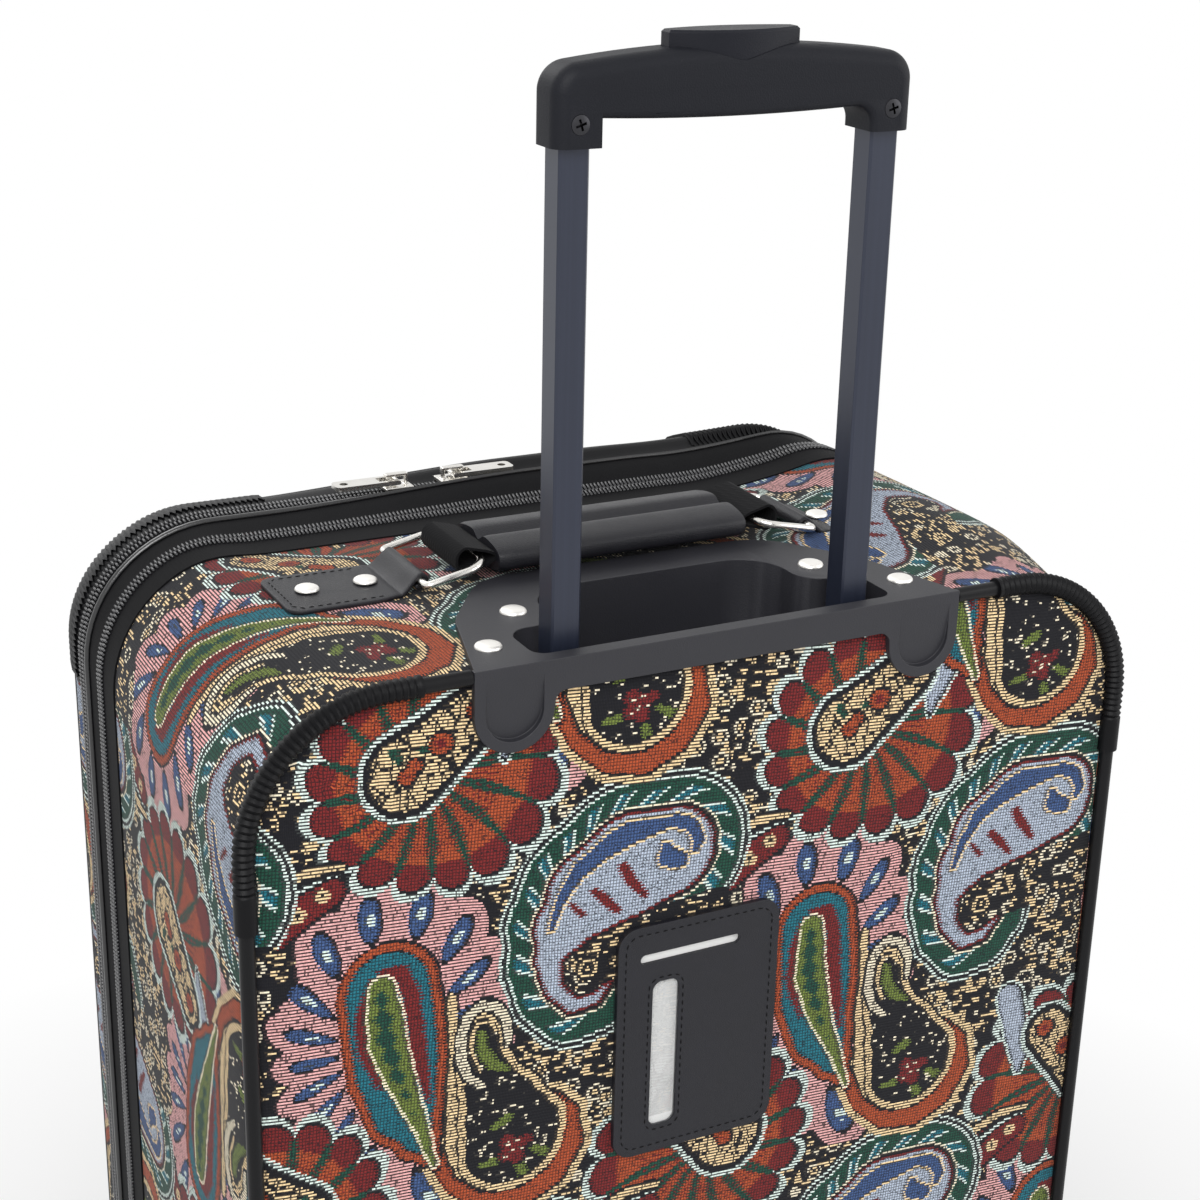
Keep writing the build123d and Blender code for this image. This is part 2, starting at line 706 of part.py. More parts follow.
def grip_outline():
    """The grip seen from the front: two legs, a bellied underside and a crowned top."""
    inner = GRIP_HALF - LEG_WIDTH
    top = ThreePointArc((-GRIP_HALF, GRIP_SHOULDER), (0, GRIP_CREST), (GRIP_HALF, GRIP_SHOULDER))
    right = Polyline(
        (GRIP_HALF, GRIP_SHOULDER),
        (GRIP_HALF, LEG_BOTTOM),
        (inner, LEG_BOTTOM),
        (inner, BAR_UNDERSIDE),
    )
    belly = ThreePointArc((inner, BAR_UNDERSIDE), (0, BAR_UNDERSIDE - BAR_BELLY), (-inner, BAR_UNDERSIDE))
    left = Polyline(
        (-inner, BAR_UNDERSIDE),
        (-inner, LEG_BOTTOM),
        (-GRIP_HALF, LEG_BOTTOM),
        (-GRIP_HALF, GRIP_SHOULDER),
    )
    face = make_face([top, right, belly, left])
    ends = [v for v in face.vertices() if v.Y > GRIP_SEAM]
    face = fillet(ends, GRIP_END_RADIUS)
    below = [v for v in face.vertices() if LEG_BOTTOM + RUNNING_GAP < v.Y < GRIP_SEAM]
    inners = [v for v in below if abs(v.X) <= inner]
    return fillet(inners, GRIP_INNER_RADIUS)


def face_rims(form, front, rear):
    """The edges round a form's front and rear faces."""
    faces = (front, rear)
    return [e for e in form.edges() if min(abs(e.center().Y - y) for y in faces) < PIN_GAP]


def grip_form():
    """The whole grip before it is parted along its seam."""
    front = TUBE_Y - GRIP_DEPTH / 2
    rear = TUBE_Y + GRIP_DEPTH / 2
    form = slab_y(grip_outline(), front, rear)
    rims = face_rims(form, front, rear)
    upper = [e for e in rims if e.center().Z > GRIP_SEAM or abs(e.center().X) > GRIP_HALF - PIN_GAP]
    form = fillet(upper, GRIP_TOP_ROUND)
    rims = [e for e in face_rims(form, front, rear) if abs(e.center().X) < GRIP_HALF - LEG_WIDTH]
    lower = [e for e in rims if BAR_UNDERSIDE - BAR_BELLY - PIN_GAP < e.center().Z < GRIP_SEAM]
    return fillet(lower, GRIP_UNDER_ROUND)


def grip_cavity():
    """Room inside the bar for the latch yoke and its travel."""
    half_width = CAVITY_WIDTH / 2
    return block(
        (-CAVITY_HALF, CAVITY_HALF),
        (TUBE_Y - half_width, TUBE_Y + half_width),
        (CAVITY_FLOOR, CAVITY_TOP),
    )


def button_outline(grow=0):
    """The button from above: bowed to the front, blunt at its ends."""
    half = BUTTON_HALF + grow
    nose = BUTTON_NOSE + grow
    tail = BUTTON_TAIL + grow
    end = BUTTON_END + grow
    front = ThreePointArc((-half, -end), (0, -nose), (half, -end))
    right = Line((half, -end), (half, end))
    rear = ThreePointArc((half, end), (0, tail), (-half, end))
    left = Line((-half, end), (-half, -end))
    return Pos(0, TUBE_Y) * make_face([front, right, rear, left])


def grip_upper():
    """Upper half of the grip, with the well that the button moves in."""
    keep = block(
        (-GRIP_HALF - OVERRUN, GRIP_HALF + OVERRUN),
        (TUBE_Y - GRIP_DEPTH, TUBE_Y + GRIP_DEPTH),
        (GRIP_SEAM, GRIP_CREST + OVERRUN),
    )
    well = slab_z(button_outline(BUTTON_GAP), GRIP_SEAM, GRIP_CREST + OVERRUN)
    return (grip_form() & keep) - grip_cavity() - well


def screw_seat(side):
    """Countersunk screw, its head flush with the leg's front face."""
    front = TUBE_Y - GRIP_DEPTH / 2
    turned = Rot(-90, 0, 0)
    head = turned * Cone(SCREW_HEAD_RADIUS, SCREW_SHANK_RADIUS, SCREW_HEAD_DEPTH, align=ON_BASE)
    reach = (GRIP_DEPTH - TUBE) / 2
    shank = turned * Cylinder(SCREW_SHANK_RADIUS, reach, align=ON_BASE)
    return Pos(side * TUBE_X, front, SCREW_Z) * (head + shank)


def grip_lower():
    """Lower half of the grip with the tube sockets, screw seats and spring post."""
    keep = block(
        (-GRIP_HALF - OVERRUN, GRIP_HALF + OVERRUN),
        (TUBE_Y - GRIP_DEPTH, TUBE_Y + GRIP_DEPTH),
        (LEG_BOTTOM - OVERRUN, GRIP_SEAM),
    )
    lower = (grip_form() & keep) - grip_cavity()
    for side in (-1, 1):
        socket = chamfer(Rectangle(TUBE, TUBE).vertices(), TUBE_EDGE)
        lower -= Pos(side * TUBE_X, TUBE_Y, 0) * slab_z(socket, LEG_BOTTOM - OVERRUN, TUBE_TOP)
        rod_hole = slab_z(Circle(ROD_RADIUS + RUNNING_GAP), TUBE_TOP, CAVITY_FLOOR)
        lower -= Pos(side * TUBE_X, TUBE_Y, 0) * rod_hole
        lower -= screw_seat(side)
    return lower


def grip_screws():
    return Part(children=[screw_seat(-1), screw_seat(1)])


def release_button():
    """Button cap on a cross yoke that works both latch rods."""
    low = YOKE_BOTTOM
    half_width = YOKE_WIDTH / 2
    reach = TUBE_X + ROD_RADIUS
    yoke = block((-reach, reach), (TUBE_Y - half_width, TUBE_Y + half_width), (low, low + YOKE_HEIGHT))
    skirt = GRIP_SEAM + BUTTON_TRAVEL + BUTTON_SKIRT_GAP
    cap = slab_z(button_outline(), skirt, BUTTON_TOP)
    crown = cap.faces().sort_by(Axis.Z)[-1].edges()
    return chamfer(crown, BUTTON_EDGE) + yoke


def release_rods():
    """Two rods from the yoke down inside the tubes to just above the latch pins."""
    low = pin_height() + ROD_REACH
    rods = []
    for side in (-1, 1):
        rods.append(Pos(side * TUBE_X, TUBE_Y, 0) * slab_z(Circle(ROD_RADIUS), low, YOKE_BOTTOM))
    return Part(children=rods)


def button_spring():
    """Return spring under the yoke, drawn as its outer sleeve."""
    ring = Circle(SPRING_RADIUS) - Circle(SPRING_HOLE_RADIUS)
    return Pos(0, TUBE_Y, 0) * slab_z(ring, CAVITY_FLOOR, YOKE_BOTTOM)


# Carry handle

def handle_tab():
    """Right tab: a flat riveted tongue that rolls up round the ring's bar."""
    roll_z = CASE_TOP + ROLL_LIFT
    flat = Pos((TAB_END + TAB_FLAT_END) / 2, CASE_TOP + TAB_THICKNESS / 2) * Rectangle(
        TAB_END - TAB_FLAT_END, TAB_THICKNESS
    )
    roll = Pos(ROLL_X, roll_z) * Circle(ROLL_RADIUS)
    rise = Polyline(
        (TAB_FLAT_END, CASE_TOP),
        (TAB_FLAT_END, CASE_TOP + TAB_THICKNESS),
        (ROLL_X, roll_z + ROLL_RADIUS),
        (ROLL_X, roll_z - ROLL_RADIUS),
        close=True,
    )
    profile = flat + roll + make_face(rise)
    profile -= Pos(ROLL_X, roll_z) * Circle(RING_WIRE / math.sqrt(2) + RUNNING_GAP)
    tab = slab_y(profile, HANDLE_Y - TAB_WIDTH / 2, HANDLE_Y + TAB_WIDTH / 2)
    at_end = [e for e in tab.edges() if abs(e.center().X - TAB_END) < PIN_GAP]
    corners = [e for e in at_end if e.length < TAB_THICKNESS + PIN_GAP]
    return fillet(corners, TAB_CORNER_RADIUS)


def ring_outline(inset=0):
    """The ring lying flat with its bar at x = 0, drawn in by a distance."""
    bar = RING_WIRE / 2 - inset
    bow = RING_WIRE / 2 - RING_LENGTH + inset
    half = RING_WIDTH / 2 - inset
    points = [(bar, -half), (bar, half), (bow, half), (bow, -half)]
    at_bar = RING_BAR_RADIUS - inset
    at_bow = RING_BOW_RADIUS - inset
    return make_face(FilletPolyline(*points, radius=[at_bar, at_bar, at_bow, at_bow], close=True))


def d_ring():
    """Right ring: a rounded loop whose straight bar lies in the tab's roll."""
    loop = slab_z(ring_outline() - ring_outline(RING_WIRE), -RING_WIRE / 2, RING_WIRE / 2)
    return Pos(ROLL_X, HANDLE_Y, CASE_TOP + ROLL_LIFT) * Rot(0, RING_TILT, 0) * loop


def webbing_slot():
    """Path of the webbing strap through the leather wrap."""
    low = CASE_TOP + WRAP_LIFT + WRAP_ROLL_HEIGHT / 2 - WEBBING_THICKNESS / 2
    half = WEBBING_WIDTH / 2
    span = (-WRAP_HALF, WRAP_HALF)
    return block(span, (HANDLE_Y - half, HANDLE_Y + half), (low, low + WEBBING_THICKNESS))


def carry_handle_wrap():
    """Leather sleeve of two rolls with a seam groove between them."""
    middle = CASE_TOP + WRAP_LIFT + WRAP_ROLL_HEIGHT / 2
    shift = (WRAP_ROLL_WIDTH - WRAP_OVERLAP) / 2
    roll = RectangleRounded(WRAP_ROLL_WIDTH, WRAP_ROLL_HEIGHT, WRAP_ROLL_HEIGHT / 2 - RUNNING_GAP)
    section = Pos(HANDLE_Y - shift, middle) * roll + Pos(HANDLE_Y + shift, middle) * roll
    return slab_x(section, -WRAP_HALF, WRAP_HALF) - webbing_slot()


def carry_handle_webbing():
    """Strap through the wrap, folded round each ring."""
    half = WEBBING_WIDTH / 2
    outer_low = CASE_TOP + LOOP_LIFT
    outer = RectangleRounded(LOOP_LENGTH, LOOP_HEIGHT, LOOP_RADIUS)
    inner = RectangleRounded(
        LOOP_LENGTH - 2 * WEBBING_THICKNESS,
        LOOP_HEIGHT - 2 * WEBBING_THICKNESS,
        LOOP_RADIUS - WEBBING_THICKNESS,
    )
    fold = Pos(WRAP_HALF + LOOP_LENGTH / 2, outer_low + LOOP_HEIGHT / 2) * (outer - inner)
    loop = slab_y(fold, HANDLE_Y - half, HANDLE_Y + half)
    return webbing_slot() + loop + mirrored(loop)


# Identity tag

def id_tag_panel():
    """Stitched patch with a card slot and a window, and a pocket behind for the card."""
    outline = Pos(TAG_X, TAG_Z) * RectangleRounded(TAG_WIDTH, TAG_HEIGHT, TAG_RADIUS)
    patch = slab_y(outline, BACK_Y - TAG_THICKNESS, BACK_Y)
    slot = Pos(SLOT_X, SLOT_Z) * SlotOverall(SLOT_WIDTH, SLOT_HEIGHT)
    window = Pos(WINDOW_X, WINDOW_Z) * RectangleRounded(WINDOW_WIDTH, WINDOW_HEIGHT, WINDOW_RADIUS)
    patch -= slab_y(slot + window, BACK_Y - TAG_THICKNESS - OVERRUN, BACK_Y)
    return patch - id_card()


def id_card():
    top = CARD_TOP
    card = Pos(SLOT_X, top - CARD_HEIGHT / 2) * Rectangle(CARD_WIDTH, CARD_HEIGHT)
    return slab_y(card, BACK_Y - CARD_THICKNESS, BACK_Y)


def id_tag_window():
    pane = Pos(WINDOW_X, WINDOW_Z) * RectangleRounded(WINDOW_WIDTH, WINDOW_HEIGHT, WINDOW_RADIUS)
    return slab_y(pane, BACK_Y - CARD_THICKNESS - PANE_THICKNESS, BACK_Y - CARD_THICKNESS)


# Zip sliders and pulls, drawn with their travel along X and the zip's face up

def pull_axis_height():
    return COIL_HEIGHT + RUNNING_GAP + SLIDER_PLATE + BAIL_RISE / 2 - BAIL_BAR / 2


def slider_form(coil_half):
    """A channel astride the coil, with an arched bail on top."""
    half = coil_half + RUNNING_GAP
    low = TAPE_THICKNESS + RUNNING_GAP
    seat = COIL_HEIGHT + RUNNING_GAP
    top = seat + SLIDER_PLATE
    length = (-SLIDER_LENGTH / 2, SLIDER_LENGTH / 2)
    reach = half + SLIDER_SIDE
    body = block(length, (-reach, reach), (low, top))
    body -= block((-SLIDER_LENGTH, SLIDER_LENGTH), (-half, half), (0, seat))
    span = (-BAIL_SPAN / 2, BAIL_SPAN / 2)
    width = (-BAIL_WIDTH / 2, BAIL_WIDTH / 2)
    bail = block(span, width, (top, top + BAIL_RISE))
    gap = (-BAIL_SPAN / 2 + BAIL_BAR, BAIL_SPAN / 2 - BAIL_BAR)
    bail -= block(gap, (-BAIL_WIDTH, BAIL_WIDTH), (top, top + BAIL_RISE - BAIL_BAR))
    return body + bail


def pull_form():
    """A pull whose round eye bar passes under the bail."""
    height = pull_axis_height()
    eye = Pos(0, 0, height) * Rot(90, 0, 0) * Cylinder(PULL_EYE_RADIUS, 2 * PULL_EYE_HALF)
    low = height - PULL_THICKNESS / 2
    tongue_length = PULL_LENGTH - PULL_TONGUE_START
    tongue = Pos(PULL_TONGUE_START + tongue_length / 2, 0) * RectangleRounded(
        tongue_length, 2 * PULL_EYE_HALF, PULL_RADIUS
    )
    tongue -= Pos(PULL_LENGTH - PULL_EYE_HALF, 0) * Circle(PULL_HOLE_RADIUS)
    plate = slab_z(tongue, low, low + PULL_THICKNESS)
    pull = eye + plate
    for side in (-1, 1):
        span = sorted((side * (PULL_EYE_HALF - PULL_ARM), side * PULL_EYE_HALF))
        pull += block((0, PULL_TONGUE_START + PULL_RADIUS), span, (low, low + PULL_THICKNESS))
    return pull


def on_top(shape, x, facing):
    """Place a slider or pull on the main zip across the top of the case."""
    return Pos(x, SPLIT_Y, CASE_TOP) * Rot(0, 0, 90 - 90 * facing) * shape


def on_left_side(shape):
    """Place a slider or pull on the expander zip of the left side, hanging down."""
    middle = BACK_Y + EXPANDER_START + EXPANDER_WIDTH / 2
    plane = Plane(origin=(-SIDE_X, middle, EXPANDER_SLIDER_Z), x_dir=(0, 0, -1), z_dir=(-1, 0, 0))
    return plane.location * shape


def on_pocket(shape):
    """Place a slider or pull on the pocket zip, with the pull hanging towards the middle."""
    base = POCKET_Y - TAPE_THICKNESS - COIL_HEIGHT
    plane = Plane(origin=(POCKET_SLIDER_X, base, pocket_zip_z()), x_dir=(1, 0, 0), z_dir=(0, 1, 0))
    return plane.location * shape


# Casters

def caster_place(side, end):
    """The swivel axis of one caster: side is left or right, end is back or front."""
    depth = CASTER_REAR if end < 0 else CASTER_FRONT
    return side * CASTER_X, BACK_Y + depth


def caster_housing(side, end):
    """Moulded corner foot that fits under the case's rounded corner and takes the stem."""
    _, y = caster_place(side, end)
    points = [
        (HOUSING_INNER, CASE_LIFT + CORNER_RADIUS),
        (HOUSING_INNER, HOUSING_BOTTOM),
        (HOUSING_OUTER - HOUSING_CHAMFER, HOUSING_BOTTOM),
        (HOUSING_OUTER, HOUSING_BOTTOM + HOUSING_CHAMFER),
        (HOUSING_OUTER, CASE_LIFT + HOUSING_RISE),
        (HOUSING_OUTER - CORNER_RADIUS, CASE_LIFT + CORNER_RADIUS),
    ]
    profile = make_face(Polyline(*points, close=True))
    low_y = y - HOUSING_WIDTH / 2
    high_y = y + HOUSING_WIDTH / 2
    foot = slab_y(profile, low_y, high_y) - slab_y(case_outline(), BACK_Y, SPLIT_Y)
    middle = HOUSING_INNER + HOUSING_LENGTH / 2
    plan = Pos(middle, y) * RectangleRounded(HOUSING_LENGTH, HOUSING_WIDTH, HOUSING_RADIUS)
    foot &= slab_z(plan, 0, CASE_MID)
    bore = Cylinder(STEM_RADIUS + PIN_GAP, STEM_LENGTH + RUNNING_GAP, align=ON_BASE)
    foot -= Pos(CASTER_X, y, HOUSING_BOTTOM) * bore
    return foot if side > 0 else mirrored(foot)


def fork_top():
    return HOUSING_BOTTOM - RUNNING_GAP


def caster_fork(side, end):
    """Swivel fork: stem, round top plate and two ears that reach back to the axle."""
    top = fork_top()
    under = top - FORK_PLATE
    trail = end * CASTER_TRAIL
    plate = slab_z(Circle(FORK_PLATE_RADIUS), under, top)
    stem = slab_z(Circle(STEM_RADIUS), top, top + STEM_LENGTH)
    shoulder = Polyline(
        (trail - FORK_EAR_RADIUS, WHEEL_RADIUS),
        (trail + FORK_EAR_RADIUS, WHEEL_RADIUS),
        (FORK_SHOULDER / 2, under),
        (-FORK_SHOULDER / 2, under),
        close=True,
    )
    ear = make_face(shoulder) + Pos(trail, WHEEL_RADIUS) * Circle(FORK_EAR_RADIUS)
    ear -= Pos(trail, WHEEL_RADIUS) * Circle(AXLE_RADIUS)
    near = WHEEL_WIDTH / 2 + WHEEL_SIDE_GAP
    fork = plate + stem
    for hand in (-1, 1):
        fork += slab_x(ear, *sorted((hand * near, hand * (near + FORK_LEG))))
    return Pos(*caster_place(side, end), 0) * fork


def caster_axle(side, end):
    x, y = caster_place(side, end)
    half = WHEEL_WIDTH / 2 + WHEEL_SIDE_GAP + FORK_LEG
    return Pos(x, y + end * CASTER_TRAIL, WHEEL_RADIUS) * Rot(0, 90, 0) * Cylinder(AXLE_RADIUS, 2 * half)


def caster_wheel(side, end):
    """Wheel with a flat tread and dished sides round its hub."""
    x, y = caster_place(side, end)
    half = WHEEL_WIDTH / 2
    wheel = Circle(WHEEL_RADIUS) - Circle(AXLE_RADIUS + PIN_GAP)
    dish = Circle(WHEEL_RIM_RADIUS) - Circle(WHEEL_HUB_RADIUS)
    solid = slab_x(wheel, -half, half)
    solid -= slab_x(dish, half - WHEEL_DISH, half + OVERRUN)
    solid -= slab_x(dish, -half - OVERRUN, -half + WHEEL_DISH)
    return Pos(x, y + end * CASTER_TRAIL, WHEEL_RADIUS) * solid


CORNERS = {
    "rear_left": (-1, -1),
    "rear_right": (1, -1),
    "front_left": (-1, 1),
    "front_right": (1, 1),
}


def pieces():
    """Every piece of the suitcase by its name."""
    made = {
        "case_tub": case_tub(),
        "lining_panel": lining_panel(),
        "back_piping": back_piping(),
        "back_corner_sleeves": back_corner_sleeves(),
        "expander_zip": expander_zip(),
        "body_welt": body_welt(),
        "main_zip_rear": main_zip_rear(),
        "lid_hinge_tape": lid_hinge_tape(),
        "lid_shell": lid_shell(),
        "lid_piping": lid_piping(),
        "lid_corner_guards": lid_corner_guards(),
        "main_zip_front": main_zip_front(),
        "front_pocket": front_pocket(),
        "pocket_zip": pocket_zip(),
        "trolley_cup": trolley_cup(),
        "rivets": rivets(),
        "outer_tubes": outer_tubes(),
        "tube_anchor": tube_anchor(),
        "inner_tubes": inner_tubes(),
        "lock_pin_left": lock_pin(-1),
        "lock_pin_right": lock_pin(1),
        "grip_upper": grip_upper(),
        "grip_lower": grip_lower(),
        "grip_screws": grip_screws(),
        "release_button": release_button(),
        "release_rods": release_rods(),
        "button_spring": button_spring(),
        "handle_tab_right": handle_tab(),
        "handle_tab_left": mirrored(handle_tab()),
        "d_ring_right": d_ring(),
        "d_ring_left": mirrored(d_ring()),
        "carry_handle_wrap": carry_handle_wrap(),
        "carry_handle_webbing": carry_handle_webbing(),
        "id_tag_panel": id_tag_panel(),
        "id_tag_window": id_tag_window(),
        "id_card": id_card(),
        "main_slider_left": on_top(slider_form(COIL_HALF + SPLIT_GAP / 2), MAIN_SLIDER_X[0], -1),
        "main_slider_right": on_top(slider_form(COIL_HALF + SPLIT_GAP / 2), MAIN_SLIDER_X[1], 1),
        "main_pull_left": on_top(pull_form(), MAIN_SLIDER_X[0], -1),
        "main_pull_right": on_top(pull_form(), MAIN_SLIDER_X[1], 1),
        "expander_slider": on_left_side(slider_form(EXPANDER_COIL_WIDTH / 2)),
        "expander_pull": on_left_side(pull_form()),
        "pocket_slider": on_pocket(slider_form(COIL_HALF)),
        "pocket_pull": on_pocket(pull_form()),
    }
    for name, corner in CORNERS.items():
        made["caster_housing_" + name] = caster_housing(*corner)
        made["caster_fork_" + name] = caster_fork(*corner)
        made["caster_axle_" + name] = caster_axle(*corner)
        made["caster_wheel_" + name] = caster_wheel(*corner)
    return made


def main():
    os.makedirs("parts", exist_ok=True)
    for name, shape in pieces().items():
        export_step(shape, os.path.join("parts", name + ".step"))


if __name__ == "__main__":
    main()
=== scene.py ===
import math
from functools import reduce

import bmesh
import bpy
from bpy.props import FloatProperty, FloatVectorProperty, PointerProperty
from mathutils import Matrix, Vector


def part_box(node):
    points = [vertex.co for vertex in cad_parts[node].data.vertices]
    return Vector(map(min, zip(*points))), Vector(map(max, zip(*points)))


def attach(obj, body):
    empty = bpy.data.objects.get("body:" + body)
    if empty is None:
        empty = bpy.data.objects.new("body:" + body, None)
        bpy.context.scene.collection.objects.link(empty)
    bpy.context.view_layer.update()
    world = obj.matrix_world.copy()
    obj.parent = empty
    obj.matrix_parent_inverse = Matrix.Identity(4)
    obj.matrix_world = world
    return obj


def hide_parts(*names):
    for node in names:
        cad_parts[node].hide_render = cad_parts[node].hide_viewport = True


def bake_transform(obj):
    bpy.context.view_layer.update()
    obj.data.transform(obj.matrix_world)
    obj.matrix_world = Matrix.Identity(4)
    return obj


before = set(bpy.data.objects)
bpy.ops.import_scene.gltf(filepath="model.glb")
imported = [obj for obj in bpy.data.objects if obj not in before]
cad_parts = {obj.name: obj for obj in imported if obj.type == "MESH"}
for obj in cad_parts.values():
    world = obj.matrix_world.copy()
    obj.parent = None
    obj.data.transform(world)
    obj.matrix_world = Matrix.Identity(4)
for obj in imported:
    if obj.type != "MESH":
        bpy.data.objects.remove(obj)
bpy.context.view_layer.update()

bl_info = {
    "name": "Tapestry Spinner Suitcase",
    "version": (1, 0, 0),
    "blender": (4, 5, 0),
    "location": "View3D > Sidebar > Suitcase",
    "description": "Dresses a packed suitcase frame with cloth, zips, trolley, handle and casters",
    "category": "Add Mesh",
}

# Sizes read from the frame, in metres
CASE_LOW, CASE_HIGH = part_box("case_tub")
LID_LOW, LID_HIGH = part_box("lid_shell")
SIDE = CASE_HIGH.x
BACK = CASE_LOW.y
RIM = CASE_HIGH.y
LID_RIM = LID_LOW.y
SPLIT = (RIM + LID_RIM) / 2
FRONT = LID_HIGH.y
TOP = CASE_HIGH.z
FOOT = CASE_LOW.z
MIDDLE = (TOP + FOOT) / 2
BAND_LOW, BAND_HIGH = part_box("expander_zip")
CUP_LOW, CUP_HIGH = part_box("trolley_cup")
CORNERS = ("rear_left", "rear_right", "front_left", "front_right")
SIDES = ("left", "right")
MM = 0.001
HALF_TURN = math.pi
QUARTER_TURN = math.pi / 2


def srgb(red, green, blue):
    """A colour written as screen values from 0 to 255, made linear."""
    def linear(value):
        share = value / 255
        return share / 12.92 if share <= 0.04045 else ((share + 0.055) / 1.055) ** 2.4
    return (linear(red), linear(green), linear(blue))


def length_property(name, description, default):
    return FloatProperty(name=name, description=description, default=default, unit="LENGTH", precision=5)


def colour_property(name, description, default):
    return FloatVectorProperty(name=name, description=description, default=default, subtype="COLOR", size=3)


def angle_property(name, description, degrees):
    return FloatProperty(name=name, description=description, default=math.radians(degrees), subtype="ANGLE")


class SuitcaseCloth(bpy.types.PropertyGroup):
    """Form of the cloth panels and the colours of their weave."""
    corner_radius: length_property("Corner radius", "Bend of the case's outline", 0.057)
    thickness: length_property("Cloth thickness", "Cloth with its lining", 0.0015)
    lid_thickness: length_property("Lid thickness", "Lid cloth with its board and lining", 0.0050)
    grid: length_property("Panel grid", "Spacing of the panels' mesh", 0.008)
    tuck: length_property("Tuck", "How far cloth dips beside the piping", 0.0016)
    puff: length_property("Puff", "How far the padded sides stand out", 0.0022)
    lid_puff: length_property("Lid puff", "How far the lid's sides stand out", 0.0020)
    lid_border: length_property("Lid border", "Reach of the black border over the lid's corners", 0.069)
    crown: length_property("Crown", "Rise of the top at the welt", 0.0048)
    dip: length_property("Dip", "Fall of the top before the zips", 0.0035)
    full_corner: length_property("Full corner", "Swell of the corner on the hinge side", 0.0095)
    taper: length_property("Taper", "How far the lid draws in towards its front", 0.0055)
    top_taper: length_property("Top taper", "How much more it draws in at the top", 0.0025)
    thread: length_property("Thread width", "Spacing of the warp threads", 0.00068)
    row: length_property("Row height", "Spacing of the weft rows", 0.00138)
    feather: length_property("Feather", "Shift of the dark rows at a colour's edge", 0.0014)
    repeat: length_property("Pattern width", "Repeat across the cloth", 0.195)
    drop: length_property("Pattern height", "Repeat along the cloth", 0.178)
    step: length_property("Pattern step", "Sideways step of each repeat along the cloth", 0.0386)
    lean: angle_property("Pattern lean", "Lean of the pattern on the back panel", 4.7)
    ink: colour_property("Ink", "Darkest ground", srgb(14, 14, 20))
    cream: colour_property("Cream", "Light outlines", srgb(246, 234, 206))
    peach: colour_property("Peach", "Warm outlines", srgb(248, 218, 168))
    rust: colour_property("Rust", "Petals and bands", srgb(178, 80, 44))
    maroon: colour_property("Maroon", "Petal tips and leaves", srgb(122, 34, 34))
    fern: colour_property("Fern", "Dark green borders", srgb(24, 74, 58))
    olive: colour_property("Olive", "Leaf hearts", srgb(112, 128, 58))
    teal: colour_property("Teal", "Drop bands", srgb(30, 112, 128))
    lavender: colour_property("Lavender", "Scroll bodies", srgb(184, 195, 212))
    slate: colour_property("Slate", "Scroll shadows", srgb(66, 92, 140))
    rose: colour_property("Rose", "Leafy ground", srgb(236, 178, 176))
    mint: colour_property("Mint", "Pale hatching", srgb(226, 242, 234))
    lining: colour_property("Lining", "Plain inner cloth", srgb(58, 58, 64))


class SuitcaseTrim(bpy.types.PropertyGroup):
    """Sizes and colours of edging, zips and fittings."""
    piping_radius: length_property("Piping radius", "Cord along the edges", 0.0031)
    rib_pitch: length_property("Rib pitch", "Spacing of the ribs on the corner sleeves", 0.0027)
    rib_depth: length_property("Rib depth", "Height of those ribs", 0.0009)
    tooth_pitch: length_property("Tooth pitch", "Spacing of the zip teeth", 0.0019)
    tooth_length: length_property("Tooth length", "Reach of one tooth across the zip", 0.0040)
    tooth_height: length_property("Tooth height", "Height of one tooth", 0.0016)
    stitch: length_property("Stitch", "Length of one stitch", 0.0026)
    stitch_gap: length_property("Stitch gap", "Space between stitches", 0.0011)
    thread_radius: length_property("Thread radius", "Sewing thread", 0.00034)
    soft_edge: length_property("Soft edge", "Rounding of moulded edges", 0.0007)
    vinyl: colour_property("Vinyl", "Piping and welt", srgb(13, 13, 15))
    tape: colour_property("Tape", "Zip tape", srgb(12, 12, 14))
    # Teeth lighter than the tape: partly their own tone, partly a painted highlight on the coil
    coil: colour_property("Coil", "Zip teeth", srgb(34, 34, 37))
    plastic: colour_property("Moulding", "Grip and feet", srgb(25, 26, 31))
    cup: colour_property("Cup", "Trolley cup", srgb(36, 36, 41))
    button: colour_property("Button", "Release button", srgb(25, 26, 32))
    caster: colour_property("Caster", "Forks", srgb(28, 28, 31))
    tube: colour_property("Tube", "Trolley tubes", srgb(38, 43, 58))
    nickel: colour_property("Nickel", "Rivets, rings and pulls", (0.80, 0.78, 0.74))
    # Rivet caps get a lighter nickel than the rings and pulls: a painted highlight of the light above them
    rivet: colour_property("Rivet", "Satin rivet caps", (0.93, 0.91, 0.87))
    steel: colour_property("Steel", "Rods, pins and axles", (0.56, 0.57, 0.58))
    screw: colour_property("Screw", "Blackened grip screws", (0.05, 0.05, 0.055))
    leather: colour_property("Leather", "Handle and tabs", srgb(23, 23, 28))
    vinyl_tag: colour_property("Tag", "Identity patch", srgb(24, 24, 30))
    webbing: colour_property("Webbing", "Handle strap", srgb(15, 15, 17))
    thread: colour_property("Thread", "Stitching", srgb(9, 9, 10))
    card: colour_property("Card", "Identity card", srgb(238, 238, 236))
    pane: colour_property("Pane", "Clear window of the tag", (0.96, 0.97, 0.98))
    tyre: colour_property("Tyre", "Wheels", srgb(46, 46, 48))


